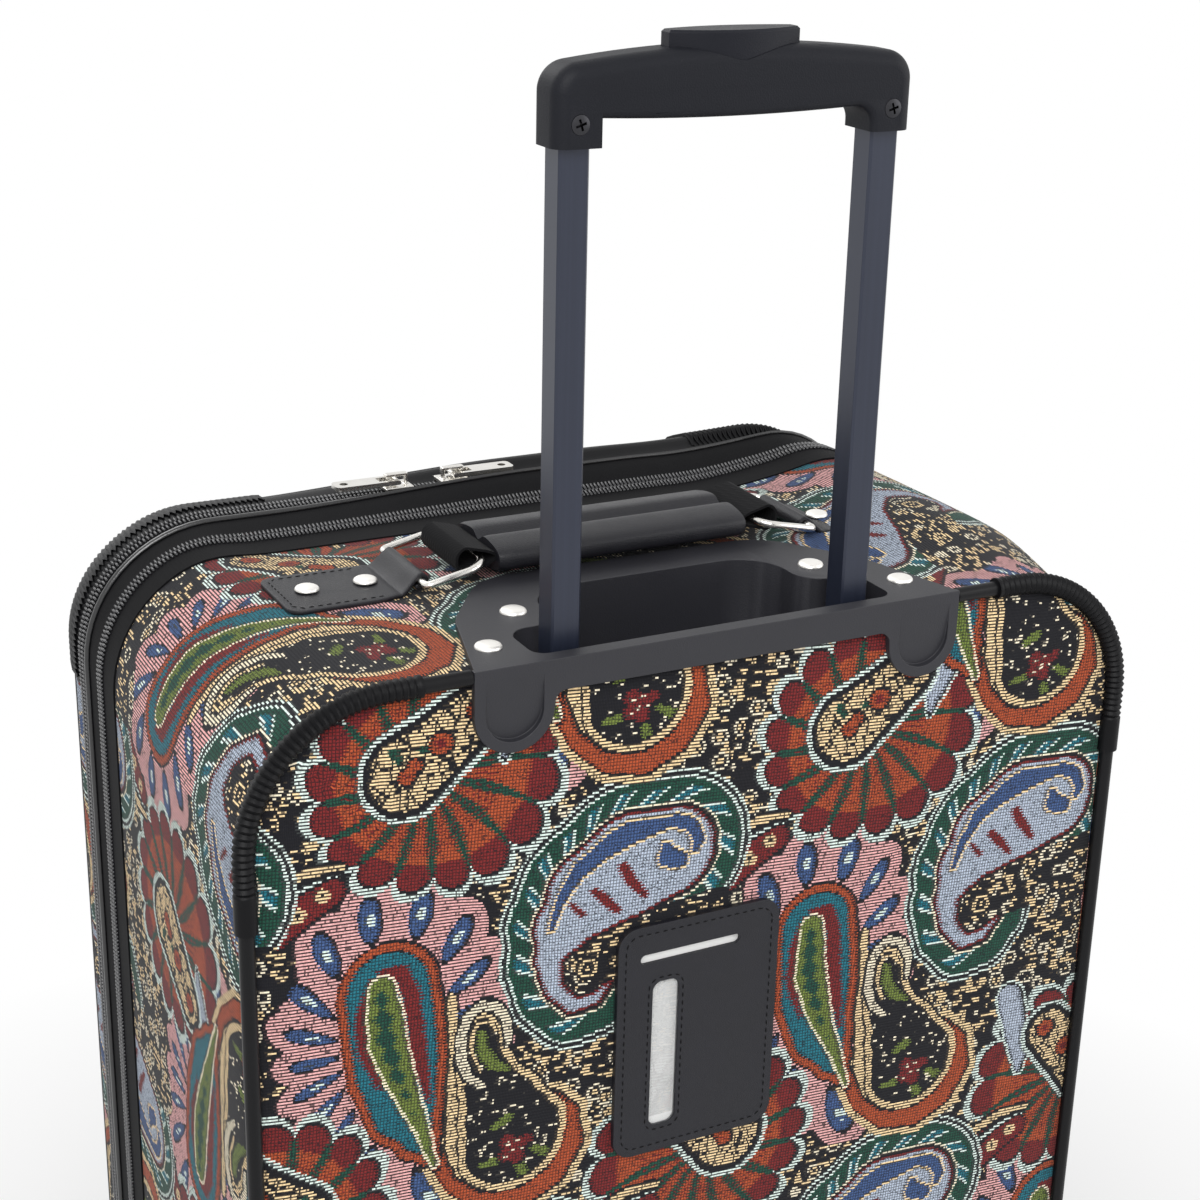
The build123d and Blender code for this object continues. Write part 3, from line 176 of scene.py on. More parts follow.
class SuitcaseStage(bpy.types.PropertyGroup):
    """Camera and light."""
    azimuth: angle_property("Azimuth", "Direction of the camera round the case", -27.54)
    elevation: angle_property("Elevation", "Height of the camera above the horizon", 20.47)
    roll: angle_property("Roll", "Turn of the camera about its own axis", 1.35)
    lens: FloatProperty(name="Lens", description="Focal length in millimetres", default=66.496)
    place: FloatVectorProperty(
        name="Place", description="Where the camera stands", default=(-0.41388, -0.81371, 0.96575),
        subtype="TRANSLATION", size=3, precision=5,
    )
    floor: colour_property("Floor", "Studio floor and background", (0.9, 0.9, 0.9))
    ambient: FloatProperty(name="Ambient", description="Strength of the even light", default=0.42)
    key: FloatProperty(name="Key", description="Power of the main lamp in watts", default=40.0)
    fill: FloatProperty(name="Fill", description="Power of the second lamp in watts", default=12.0)


def cloth_settings():
    return bpy.context.scene.suitcase_cloth


def trim_settings():
    return bpy.context.scene.suitcase_trim


def stage_settings():
    return bpy.context.scene.suitcase_stage


def as_colour(value):
    """A linked colour as it is, or a fixed one with its alpha."""
    return value if isinstance(value, bpy.types.NodeSocket) else (*value, 1)


def tint(colour, factor):
    """A darker or lighter tone of a colour."""
    return tuple(value * factor for value in colour)


class Nodes:
    """A node tree being made: each call adds a node and returns its output."""

    def __init__(self, tree):
        self.tree = tree

    def node(self, kind, **settings):
        made = self.tree.nodes.new(kind)
        for key, value in settings.items():
            setattr(made, key, value)
        return made

    def feed(self, socket, value):
        if isinstance(value, bpy.types.NodeSocket):
            self.tree.links.new(value, socket)
        else:
            socket.default_value = value

    def fed(self, kind, *values, **settings):
        """A node with its first inputs fed in order."""
        made = self.node(kind, **settings)
        for socket, value in zip(made.inputs, values):
            self.feed(socket, value)
        return made

    def math(self, operation, *values):
        return self.fed("ShaderNodeMath", *values, operation=operation).outputs[0]

    def held(self, value):
        """A value held between 0 and 1."""
        return self.fed("ShaderNodeClamp", value).outputs[0]

    def within(self, value, low, high):
        """The share of the way from low to high, held between 0 and 1."""
        return self.held(self.math("MULTIPLY_ADD", value, 1 / (high - low), -low / (high - low)))

    def split(self, vector):
        return self.fed("ShaderNodeSeparateXYZ", vector).outputs[:3]

    def join(self, *values):
        return self.fed("ShaderNodeCombineXYZ", *values).outputs[0]

    def object_place(self):
        return self.node("ShaderNodeTexCoord").outputs["Object"]

    def vector(self, operation, *values):
        made = self.fed("ShaderNodeVectorMath", *values, operation=operation)
        number = operation in ("DISTANCE", "DOT_PRODUCT", "LENGTH")
        return made.outputs["Value" if number else "Vector"]

    def along(self, run, share):
        """A share of a fixed run."""
        made = self.fed("ShaderNodeVectorMath", run, operation="SCALE")
        self.feed(made.inputs["Scale"], share)
        return made.outputs["Vector"]

    def channels(self, colour):
        return self.fed("ShaderNodeSeparateColor", colour).outputs[:3]

    def mix(self, share, first, second):
        made = self.node("ShaderNodeMix", data_type="RGBA")
        self.feed(made.inputs["Factor"], share)
        for name, value in (("A", first), ("B", second)):
            socket = next(s for s in made.inputs if s.name == name and s.type == "RGBA")
            self.feed(socket, as_colour(value))
        return next(s for s in made.outputs if s.type == "RGBA")

    def bands(self, value, stops):
        """Colours that change at the given shares of a value."""
        made = self.fed("ShaderNodeValToRGB", value)
        ramp = made.color_ramp
        ramp.interpolation = "CONSTANT"
        for element, (place, colour) in zip(ramp.elements, (stops[0], stops[-1])):
            element.position = place
            element.color = (*colour, 1)
        for place, colour in stops[1:-1]:
            ramp.elements.new(place).color = (*colour, 1)
        return made.outputs[0]

    def texture(self, kind, vector, scale, **settings):
        made = self.node(kind, **settings)
        self.feed(made.inputs["Vector"], vector)
        made.inputs["Scale"].default_value = scale
        return made

    def noise(self, vector, scale, detail=2.0):
        made = self.texture("ShaderNodeTexNoise", vector, scale)
        made.inputs["Detail"].default_value = detail
        return made.outputs[0]

    def cells(self, vector, scale, feature="F1"):
        return self.texture("ShaderNodeTexVoronoi", vector, scale, feature=feature).outputs

    def seen_directly(self):
        """1 where the camera sees a surface straight, in a mirror or through glass."""
        path = self.node("ShaderNodeLightPath").outputs
        seen = self.math("ADD", path["Is Camera Ray"], path["Is Glossy Ray"])
        return self.held(self.math("ADD", seen, path["Is Transmission Ray"]))

    def blend_shaders(self, share, first, second, output):
        """Show the second shader by a share over the first."""
        mix = self.fed("ShaderNodeMixShader", share, first.outputs[0], second.outputs[0])
        self.feed(self.tree.nodes[output].inputs[0], mix.outputs[0])


class Finish(Nodes):
    """A material being made."""

    def __init__(self, name):
        self.material = bpy.data.materials.new(name)
        self.material.use_nodes = True
        super().__init__(self.material.node_tree)
        self.shader = self.tree.nodes["Principled BSDF"]

    def bump(self, height, distance, strength=1.0):
        made = self.node("ShaderNodeBump")
        made.inputs["Strength"].default_value = strength
        made.inputs["Distance"].default_value = distance
        self.feed(made.inputs["Height"], height)
        self.feed(self.shader.inputs["Normal"], made.outputs[0])

    def colour(self, value):
        self.feed(self.shader.inputs["Base Color"], as_colour(value))

    def shaded(self, share, colour, dark, light):
        """Vary one colour from a darker to a lighter tone."""
        self.colour(self.mix(share, tint(colour, dark), tint(colour, light)))

    def surface(self, **values):
        """Fixed or linked shader values by socket name, with _ for a space."""
        for name, value in values.items():
            self.feed(self.shader.inputs[name.replace("_", " ")], value)


# Paisley strokes of the tapestry: (across, along, half width) in millimetres of cloth
TALL_DROP = (
    (-1.5, -94, 20.5), (2, -112, 21.0), (4.5, -127, 20.5), (9, -147, 16.5), (16, -161, 9.8), (22, -170, 4.6),
    (26.5, -177, 0.8),
)
BLUE_BODY = (
    (118, -49, 20.0), (100, -53, 23.5), (84, -62, 20.0), (73, -75, 13.5), (66.5, -90, 6.5), (69.5, -104, 4.3),
    (79, -113.5, 3.7), (89, -111.5, 3.2), (96, -104, 1.2),
)
BLUE_SHADE = (
    (67, -76, 1.0), (69.5, -65, 2.0), (76, -53, 3.2), (86, -44, 4.8), (98, -38.5, 5.0), (108, -36.5, 3.8),
    (117, -34.5, 3.0), (126, -38, 3.0), (130, -45, 2.4), (128.5, -49, 1.4),
)
BLUE_HOLLOW = ((85, -97, 10.5), (100, -90, 13.0), (122, -85, 13.5), (142, -82, 14.0))
FLOWER_ROUND = ((8, -6, 53), (22, -6, 52))
FLOWER_BAND = ((40, 0, 0.6), (41, 8, 3.4), (45, 20, 5.0), (52, 40, 6.0))
BULB_TAIL = (
    (25, -170, 2.6), (35, -186, 3.2), (49, -197, 3.4), (66, -199, 3.6), (80, -191, 3.5), (87, -177, 3.3),
    (84, -163, 2.4), (74, -153, 0.8),
)
BULB_LINE = (
    (25, -101, 1.8), (27.5, -125, 2.3), (29, -150, 2.5), (31, -168, 2.5), (37, -181, 2.3), (48, -190, 2.0),
)
BULB_BODY = ((58, -169, 20.5), (51, -155, 15.0), (44, -141, 9.5), (40, -130, 7.5), (39, -120, 6.5))
BULB_HOOK = (
    (51, -126, 1.2), (50, -116, 1.9), (45, -108.5, 2.1), (38, -106.5, 2.1), (32.5, -111, 2.1),
    (30.5, -119, 2.1), (31, -129, 2.1), (35, -138, 1.9), (41, -143, 1.6),
)
SEED_ARCH = ((-69, -80, 1.6), (-62, -60, 1.9), (-51, -46, 2.0), (-38, -40, 2.0), (-24, -39, 1.4))
SEED_LINE = ((-63, -84, 0.8), (-58, -67, 0.9), (-49, -53, 0.9), (-37, -45.5, 0.9), (-26, -42.5, 0.7))
SEED_POD = ((-27, -49, 5.2), (-36, -54, 6.0), (-46, -63, 5.0), (-54, -76, 2.4), (-56, -86, 0.8))
DROP_FLAMES = (
    ((-5, -85.5, 1.2), (3, -86.5, 3.2), (8.5, -97, 3.6), (11, -112, 3.4), (15, -130, 3.0), (19, -145, 0.8)),
    ((-9, -89, 1.0), (-12.2, -103, 1.6), (-10.2, -119, 1.9), (-2, -136, 0.8)),
)
DROP_LEAF = (
    (-4.5, -93, 4.8), (-2.6, -104, 6.4), (-0.5, -116, 6.9), (5, -131, 5.6), (11, -145, 3.8), (17, -158, 2.2),
    (25, -175, 0.5),
)
BLUE_SPIRAL = ((115, -46, 1.8), (116.5, -51, 4.2), (122, -53, 3.6))
BLUE_DASHES = (
    ((97, -53, 2.3), (101, -59, 2.5), (108, -66.5, 1.6)),
    ((85, -62, 1.8), (90, -66, 2.3), (96.5, -72, 1.4)),
    ((75, -66, 1.0), (81, -71.5, 1.4)),
)
FLOWER_HEART = ((0, -3, 15.0), (14, 8, 12.0), (27, 19, 10.0))
BULB_LEAVES = (
    ((50, -163, 1.8), (55, -160, 2.4)),
    ((63, -182, 1.6), (66, -188, 2.4)),
    ((69, -176, 1.4), (75, -179, 2.2)),
    ((46, -180, 1.4), (52, -179, 2.0)),
)
BULB_NECK = (
    (45.5, -119, 0.8), (42, -114, 0.9), (37.5, -114.5, 0.9), (35, -119, 0.9), (35.5, -127, 0.9),
    (40, -136, 0.7),
)
BULB_LEAF = ((39.5, -119, 1.6), (41, -127, 2.6), (46, -134, 2.6), (52, -137, 1.4))

# Round spots of the tapestry: (across, along, radius) in millimetres of cloth
BLUE_CURL = ((85, -96, 0.0),)
FLOWER_EYES = ((1, -4, 3.2), (4, 0, 2.8), (14, 8, 4.4), (28, 20, 4.0))
FLOWER_LEAVES = ((-5, 6, 2.2), (-3, 3, 1.8), (7, 6, 1.8))
BULB_BLOOM = ((57, -171, 3.4), (62, -173, 3.4), (57, -177, 3.2), (62, -178.5, 3.2), (66, -171, 2.4))
BULB_SEEDS = ((57, -172, 0.9), (61, -171, 0.9), (59.5, -175.5, 0.9), (63.5, -175, 0.9), (56.5, -178, 0.9))
SEED_BLOOMS = ((-31, -50, 3.1), (-40, -57, 3.3), (-48, -65, 2.6))

# Motifs of the tapestry, lowest first, in millimetres of cloth: centre, shift of every second row,
# whether that row is mirrored, and the strokes that hold the motif with the room it takes round each
MOTIFS = {
    "leafy_ground": ((-4, -116), (-3, 11), False, ((TALL_DROP, 31.5),)),
    "great_flower": ((8, -10), (-11, -8), True, ((FLOWER_ROUND, 0.0), (FLOWER_BAND, 2.5))),
    "seed_pod": ((-44, -60), (-3, 11), False, ((SEED_ARCH, 1.3), (SEED_LINE, 1.9), (SEED_POD, 1.2))),
    "blue_scroll": ((98, -72), (-6, -10), False, ((BLUE_BODY, 16.4), (BLUE_HOLLOW, 0.0))),
    "bulb_scroll": (
        (60, -152), (-2.6, 12), False,
        ((BULB_TAIL, 5.4), (BULB_LINE, 1.2), (BULB_BODY, 5.2), (BULB_HOOK, 1.2)),
    ),
    "tall_drop": ((4, -120), (-3, 11), False, ((TALL_DROP, 1.3),)),
}


class Weave:
    """Drawing on the tapestry in millimetres: u and v wobble slightly, and place keeps to the threads."""

    def __init__(self, f, u, v, place, ground):
        self.f = f
        self.u = u
        self.v = v
        self.place = place
        self.ground = ground
        cloth = cloth_settings()
        self.repeat = cloth.repeat / MM
        self.drop = cloth.drop / MM
        self.step = cloth.step / MM

    def near(self, motif):
        """Place about the nearest repeat of a motif; every second row is shifted and may be mirrored."""
        f = self.f
        centre, odd_shift, mirrored, _ = MOTIFS[motif]
        up = f.math("SUBTRACT", self.v, centre[1])
        count = f.math("ROUND", f.math("DIVIDE", up, self.drop))
        second = f.math("PINGPONG", count, 1.0)
        up = f.math("MULTIPLY_ADD", count, -self.drop, up)
        up = f.math("MULTIPLY_ADD", second, -odd_shift[1], up)
        side = f.math("SUBTRACT", self.u, centre[0])
        side = f.math("MULTIPLY_ADD", count, -self.step, side)
        side = f.math("MULTIPLY_ADD", second, -odd_shift[0], side)
        side = f.math("WRAP", side, self.repeat / 2, -self.repeat / 2)
        if mirrored:
            side = f.math("MULTIPLY", side, f.math("MULTIPLY_ADD", second, -2.0, 1.0))
        return f.vector("ADD", f.join(side, up, 0.0), (*centre, 0))

    def polar(self, place, centre):
        """Distance from a centre, and the turn about it from 0 to 1."""
        f = self.f
        side, up, _ = f.split(f.vector("SUBTRACT", place, (*centre, 0)))
        turn = f.math("MULTIPLY_ADD", f.math("ARCTAN2", up, side), 0.5 / math.pi, 0.5)
        return f.vector("DISTANCE", place, (*centre, 0)), turn

    def nearest(self, gaps):
        """The smallest of several distances."""
        return reduce(lambda least, gap: self.f.math("MINIMUM", least, gap), gaps)

    def segment(self, place, start, end):
        """Distance outside one run of a tapered stroke."""
        f = self.f
        run = Vector((end[0] - start[0], end[1] - start[1], 0))
        offset = f.vector("SUBTRACT", place, (start[0], start[1], 0))
        share = f.held(f.vector("DOT_PRODUCT", offset, run / run.length_squared))
        apart = f.vector("DISTANCE", offset, f.along(run, share))
        return f.math("SUBTRACT", f.math("MULTIPLY_ADD", share, start[2] - end[2], apart), start[2])

    def stroke(self, place, points):
        """Distance outside a tapered stroke drawn through (u, v, half width) points."""
        return self.nearest(self.segment(place, *ends) for ends in zip(points, points[1:]))

    def strokes(self, place, several):
        """Distance outside the nearest of several strokes."""
        return self.nearest(self.stroke(place, points) for points in several)

    def spots(self, place, points):
        """Distance outside the nearest of several round (u, v, radius) spots."""
        f = self.f
        return self.nearest(
            f.math("SUBTRACT", f.vector("DISTANCE", place, (u, v, 0)), radius) for u, v, radius in points
        )

    def lay(self, under, distance, limit, colour):
        """Paint over what lies under where a distance is below a limit."""
        return self.f.mix(self.f.math("LESS_THAN", distance, limit), under, colour)

    def layers(self, under, distance, stops):
        """Paint bands from the outside in, each below its limit."""
        for limit, colour in stops:
            under = self.lay(under, distance, limit, colour)
        return under

    def draw(self, under, place, points, stops):
        """Paint a stroke in bands."""
        return self.layers(under, self.stroke(place, points), stops)


def speckled_ground(f, place, cloth):
    """Dark ground with cream rings and flecks."""
    rings = f.cells(place, 0.118)
    ring = f.bands(rings["Distance"], [
        (0.0, cloth.ink), (0.12, cloth.peach), (0.26, cloth.ink), (0.36, cloth.cream), (0.50, cloth.ink),
    ])
    flecks = f.cells(f.vector("MULTIPLY", place, (0.62, 1.0, 1.0)), 0.36)
    fleck = f.bands(flecks["Distance"], [(0.0, cloth.peach), (0.46, cloth.ink), (1.0, cloth.ink)])
    picked = f.math("GREATER_THAN", f.channels(rings["Color"])[0], 0.55)
    return f.mix(picked, fleck, ring)


def leafy_ground(f, weave, cloth, under):
    """Rose ground round the tall drop, in lobes that each hold a slate bud with a pale heart."""
    place = weave.near("leafy_ground")
    drop = weave.stroke(place, TALL_DROP)
    _, turn = weave.polar(place, (-2, -118))
    lobe = f.math("SUBTRACT", f.math("FRACT", f.math("MULTIPLY_ADD", turn, 17, 0.3)), 0.5)
    square = f.math("MULTIPLY", lobe, lobe)
    reach = f.math("MULTIPLY_ADD", square, -26, 29)
    inside = f.math("SUBTRACT", drop, reach)
    across = f.math("MULTIPLY", lobe, 4.6)
    along = f.math("MULTIPLY_ADD", drop, 0.11, -1.32)
    bud = f.math("MULTIPLY_ADD", across, across, f.math("MULTIPLY", along, along))
    dash = f.math("GREATER_THAN", f.math("PINGPONG", weave.v, 3.0), 0.7)
    heart = f.mix(dash, cloth.slate, cloth.mint)
    paint = weave.layers(cloth.rose, bud, [(1.35, cloth.ink), (0.95, cloth.slate), (0.16, heart)])
    return weave.layers(under, inside, [(2.0, cloth.ink), (0.0, paint)])


def great_flower(f, weave, cloth, under):
    """Fan of rust petals with maroon tips and green leaves between, round a heart of cream roses."""
    place = weave.near("great_flower")
    distance, turn = weave.polar(place, (8, -6))
    turned = f.math("MULTIPLY_ADD", distance, 0.0007, turn)
    petal = f.math("SUBTRACT", f.math("FRACT", f.math("MULTIPLY_ADD", turned, 16, 0.19)), 0.5)
    side = f.math("ABSOLUTE", petal)
    square = f.math("MULTIPLY_ADD", f.math("MULTIPLY", side, side), -3.9, 1.0)
    lobe = f.math("SQRT", f.math("MAXIMUM", square, 0.0))
    right, _, _ = f.split(place)
    reach = f.math("MULTIPLY_ADD", lobe, 10, f.math("MULTIPLY_ADD", f.within(right, 14, 56), 9, 37))
    rim = f.math("SUBTRACT", distance, reach)
    tip = f.math("GREATER_THAN", f.math("ADD", rim, f.math("MULTIPLY", lobe, 11.5)), 0)
    petals = f.mix(tip, cloth.rust, cloth.maroon)
    wedge = f.math("MULTIPLY_ADD", f.within(distance, 17, 42), -0.24, 0.30)
    petals = f.mix(f.math("GREATER_THAN", side, f.math("SUBTRACT", 0.5, wedge)), petals, cloth.fern)
    streak = f.math("LESS_THAN", f.math("PINGPONG", f.math("MULTIPLY", petal, 4.0), 0.5), 0.10)
    petals = f.mix(f.math("MULTIPLY", streak, f.math("LESS_THAN", distance, 32)), petals, cloth.maroon)
    under = weave.layers(under, rim, [(5.0, cloth.mint), (1.3, cloth.ink), (0.0, petals)])
    band = [(2.4, cloth.mint), (1.0, cloth.ink), (0.0, cloth.lavender)]
    under = weave.draw(under, place, FLOWER_BAND, band)
    heart = weave.stroke(place, FLOWER_HEART)
    folds = f.cells(weave.place, 0.17, "DISTANCE_TO_EDGE")["Distance"]
    rose = f.mix(f.math("LESS_THAN", folds, 0.05), cloth.peach, cloth.ink)
    eyes = weave.spots(place, FLOWER_EYES)
    rose = weave.layers(rose, eyes, [(1.2, cloth.ink), (0.0, cloth.rust), (-2.3, cloth.maroon)])
    rose = weave.lay(rose, weave.spots(place, FLOWER_LEAVES), 0.0, cloth.fern)
    return weave.layers(under, heart, [(5.2, cloth.mint), (2.8, cloth.ink), (0.0, rose)])


def blue_scroll(f, weave, cloth, under):
    """Lavender crescent with a curled tail and a slate spiral, in a green border of small leaves."""
    place = weave.near("blue_scroll")
    body = weave.stroke(place, BLUE_BODY)
    _, turn = weave.polar(place, (98, -66))
    slant = f.math("MULTIPLY_ADD", body, 0.062, f.math("MULTIPLY", turn, 19))
    leaf = f.math("PINGPONG", slant, 0.5)
    border = f.bands(leaf, [(0.0, cloth.teal), (0.12, cloth.mint), (0.24, cloth.fern), (1.0, cloth.fern)])
    low = f.math("LESS_THAN", f.math("ABSOLUTE", f.math("SUBTRACT", turn, 0.31)), 0.09)
    border = f.mix(low, border, cloth.fern)
    border = weave.lay(cloth.fern, body, 9.0, border)
    under = weave.layers(under, body, [
        (16.2, cloth.mint), (14.8, cloth.ink), (13.4, cloth.mint), (12.0, border), (2.6, cloth.cream),
        (1.4, cloth.ink),
    ])
    under = weave.draw(under, place, BLUE_HOLLOW, [(0.0, weave.ground)])
    curl = [(6.0, cloth.ink), (4.6, cloth.peach), (2.9, cloth.ink), (1.0, cloth.peach)]
    under = weave.layers(under, weave.spots(place, BLUE_CURL), curl)
    under = weave.layers(under, body, [(0.9, cloth.ink), (0.0, cloth.maroon), (-1.2, cloth.lavender)])
    shade = weave.strokes(place, (BLUE_SHADE, BLUE_SPIRAL))
    shade = f.math("MAXIMUM", shade, f.math("ADD", body, 4.0))
    under = weave.layers(under, shade, [(1.3, cloth.peach), (0.0, cloth.slate)])
    return weave.lay(under, weave.strokes(place, BLUE_DASHES), 0.0, cloth.maroon)


def tall_drop(f, weave, cloth, under):
    """Tall drop of rust, teal and maroon round an olive leaf in a pale outline."""
    place = weave.near("tall_drop")
    edge = [(1.2, cloth.ink), (0.0, cloth.rust), (-3.3, cloth.ink), (-3.9, cloth.teal)]
    under = weave.draw(under, place, TALL_DROP, edge)
    flame = weave.strokes(place, DROP_FLAMES)
    ragged = f.math("MULTIPLY_ADD", f.noise(weave.place, 0.55, 1.0), 3.4, -1.9)
    under = weave.lay(under, f.math("ADD", flame, ragged), 0.0, cloth.maroon)
    leaf = weave.stroke(place, DROP_LEAF)
    marks = f.math("PINGPONG", f.math("MULTIPLY", weave.v, 0.5), 2.2)
    marked = f.math("LESS_THAN", f.math("ADD", leaf, f.math("MULTIPLY", marks, 1.2)), -2.4)
    heart = f.mix(marked, cloth.olive, cloth.fern)
    return weave.layers(under, leaf, [(1.7, cloth.cream), (0.3, cloth.olive), (-0.6, heart)])


def bulb_scroll(f, weave, cloth, under):
    """Flowery bulb with a hooked neck in pale outlines, and the drop's rust tail swept round it."""
    place = weave.near("bulb_scroll")
    under = weave.draw(under, place, BULB_TAIL, [(5.2, cloth.peach), (1.9, cloth.ink), (0.9, cloth.rust)])
    under = weave.draw(under, place, BULB_LINE, [(1.1, cloth.ink), (0.0, cloth.peach)])
    body = weave.stroke(place, BULB_BODY)
    blooms = f.cells(weave.place, 0.26)
    bud = f.bands(blooms["Distance"], [(0.0, cloth.cream), (0.27, cloth.ink), (1.0, cloth.ink)])
    bud = weave.lay(bud, weave.strokes(place, BULB_LEAVES), 0.0, cloth.olive)
    bloom = weave.spots(place, BULB_BLOOM)
    bud = weave.layers(bud, bloom, [(1.0, cloth.ink), (0.0, cloth.maroon)])
    bud = weave.lay(bud, weave.spots(place, BULB_SEEDS), 0.0, cloth.cream)
    under = weave.layers(under, body, [(5.0, cloth.ink), (4.0, cloth.peach), (0.9, cloth.ink), (0.0, bud)])
    under = weave.draw(under, place, BULB_HOOK, [(1.1, cloth.ink), (0.0, cloth.cream)])
    under = weave.draw(under, place, BULB_NECK, [(0.0, cloth.peach)])
    return weave.draw(under, place, BULB_LEAF, [(1.0, cloth.ink), (0.0, cloth.olive)])


def seed_pod(f, weave, cloth, under):
    """Small maroon pod with peach blooms, under pale outlines that arch over it."""
    place = weave.near("seed_pod")
    under = weave.draw(under, place, SEED_ARCH, [(1.2, cloth.ink), (0.0, cloth.peach)])
    under = weave.draw(under, place, SEED_LINE, [(1.8, cloth.ink), (0.0, cloth.mint)])
    under = weave.draw(under, place, SEED_POD, [(1.1, cloth.ink), (0.0, cloth.maroon)])
    return weave.layers(under, weave.spots(place, SEED_BLOOMS), [(0.0, cloth.peach), (-2.3, cloth.ink)])


PAINTERS = {
    painter.__name__: painter
    for painter in (leafy_ground, great_flower, seed_pod, blue_scroll, bulb_scroll, tall_drop)
}


def stroke_gap(place, points):
    """How far a place lies outside a tapered stroke."""
    gaps = []
    for (u, v, half), (next_u, next_v, next_half) in zip(points, points[1:]):
        start = Vector((u, v))
        run = Vector((next_u, next_v)) - start
        share = min(1.0, max(0.0, (place - start).dot(run) / run.length_squared))
        gaps.append((place - start - run * share).length - half - (next_half - half) * share)
    return min(gaps)


def shows_motif(place, motif, margin):
    """Whether a motif can come within a margin of a place on the cloth, in millimetres."""
    cloth = cloth_settings()
    centre, odd_shift, mirrored, strokes = MOTIFS[motif]
    repeat = cloth.repeat / MM
    drop = cloth.drop / MM
    middle = (place.y - centre[1]) / drop
    for count in {round(middle - margin / drop), round(middle + margin / drop)}:
        second = count % 2
        over = place.y - centre[1] - count * drop - second * odd_shift[1]
        side = place.x - centre[0] - count * cloth.step / MM - second * odd_shift[0]
        side = (side + repeat / 2) % repeat - repeat / 2
        side = -side if mirrored and second else side
        near = Vector((side + centre[0], over + centre[1]))
        if any(stroke_gap(near, points) < room + margin for points, room in strokes):
            return True
    return False


def sort_tapestry(bm, spare=3.5):
    """Give each face the tapestry that holds just the motifs it can show, and list those tapestries."""
    layer = bm.loops.layers.uv["cloth"]
    found = []
    for face in bm.faces:
        places = [loop[layer].uv / MM for loop in face.loops]
        middle = sum(places, Vector((0, 0))) / len(places)
        margin = spare + max((place - middle).length for place in places)
        shown = tuple(name for name in MOTIFS if shows_motif(middle, name, margin))
        if shown not in found:
            found.append(shown)
        face.material_index = found.index(shown)
    return found


def motif_group(motif):
    """One motif as a group of nodes that paints over the cloth under it, made once."""
    if motif in bpy.data.node_groups:
        return bpy.data.node_groups[motif]
    tree = bpy.data.node_groups.new(motif, "ShaderNodeTree")
    kinds = {"Under": "Color", "Ground": "Color", "Place": "Vector", "U": "Float", "V": "Float"}
    for name, kind in kinds.items():
        tree.interface.new_socket(name, in_out="INPUT", socket_type="NodeSocket" + kind)
    tree.interface.new_socket("Paint", in_out="OUTPUT", socket_type="NodeSocketColor")
    f = Nodes(tree)
    given = f.node("NodeGroupInput").outputs
    weave = Weave(f, given["U"], given["V"], given["Place"], given["Ground"])
    paint = PAINTERS[motif](f, weave, cloth_settings(), given["Under"])
    f.feed(f.node("NodeGroupOutput").inputs["Paint"], paint)
    return tree


def tapestry_cloth(motifs):
    """Woven tapestry: paisley motifs on a snapped thread grid, with dark rows through the pale parts."""
    f = Finish("tapestry_cloth")
    cloth = cloth_settings()
    uv = f.node("ShaderNodeUVMap", uv_map="cloth").outputs[0]
    across, along, _ = f.split(f.vector("MULTIPLY", uv, (1 / MM, 1 / MM, 1)))
    pitch = cloth.row / MM
    count = f.math("DIVIDE", along, pitch)
    odd = f.math("GREATER_THAN", f.math("FRACT", count), 0.54)
    thread = f.math("SNAP", f.math("MULTIPLY_ADD", odd, cloth.feather / MM, across), cloth.thread / MM)
    v = f.math("MULTIPLY", f.math("MULTIPLY_ADD", odd, 0.5, f.math("FLOOR", count)), pitch)
    place = f.join(thread, v, 0.0)
    u = f.math("MULTIPLY_ADD", f.noise(place, 0.16, 1.0), 1.6, f.math("SUBTRACT", thread, 0.8))
    ground = speckled_ground(f, place, cloth)
    paint = ground
    for motif in motifs:
        group = f.node("ShaderNodeGroup", node_tree=motif_group(motif))
        for name, value in (("Under", paint), ("Ground", ground), ("Place", place), ("U", u), ("V", v)):
            f.feed(group.inputs[name], value)
        paint = group.outputs["Paint"]
    pale = f.within(f.channels(paint)[0], 0.50, 0.58)
    warp = f.math("LESS_THAN", f.math("PINGPONG", f.math("DIVIDE", across, pitch), 0.5), 0.15)
    weft = f.math("LESS_THAN", f.math("PINGPONG", count, 0.5), 0.15)
    grid = f.math("MULTIPLY", f.math("MAXIMUM", weft, warp), 0.72)
    streak = f.math("MULTIPLY", f.math("MULTIPLY", pale, odd), 0.96)
    plain = f.math("MULTIPLY", grid, f.math("SUBTRACT", 1.0, pale))
    fleck = f.node("ShaderNodeTexWhiteNoise", noise_dimensions="2D")
    f.feed(fleck.inputs["Vector"], place)
    pick = f.math("MULTIPLY", f.math("GREATER_THAN", fleck.outputs["Value"], 0.90), 0.85)
    paint = f.mix(f.math("MAXIMUM", f.math("MAXIMUM", streak, plain), pick), paint, cloth.ink)
    shade = f.node("ShaderNodeHueSaturation")
    f.feed(shade.inputs["Value"], f.math("MULTIPLY_ADD", fleck.outputs["Value"], 0.44, 0.78))
    f.feed(shade.inputs["Color"], paint)
    f.colour(shade.outputs[0])
    rows = f.math("PINGPONG", count, 0.5)
    threads = f.math("PINGPONG", f.math("DIVIDE", across, cloth.thread / MM), 0.5)
    f.bump(f.math("MULTIPLY_ADD", threads, 0.5, rows), 0.0005, 0.55)
    f.surface(Roughness=0.88, Specular_IOR_Level=0.25, Sheen_Weight=0.06, Sheen_Roughness=0.5)
    return f.material


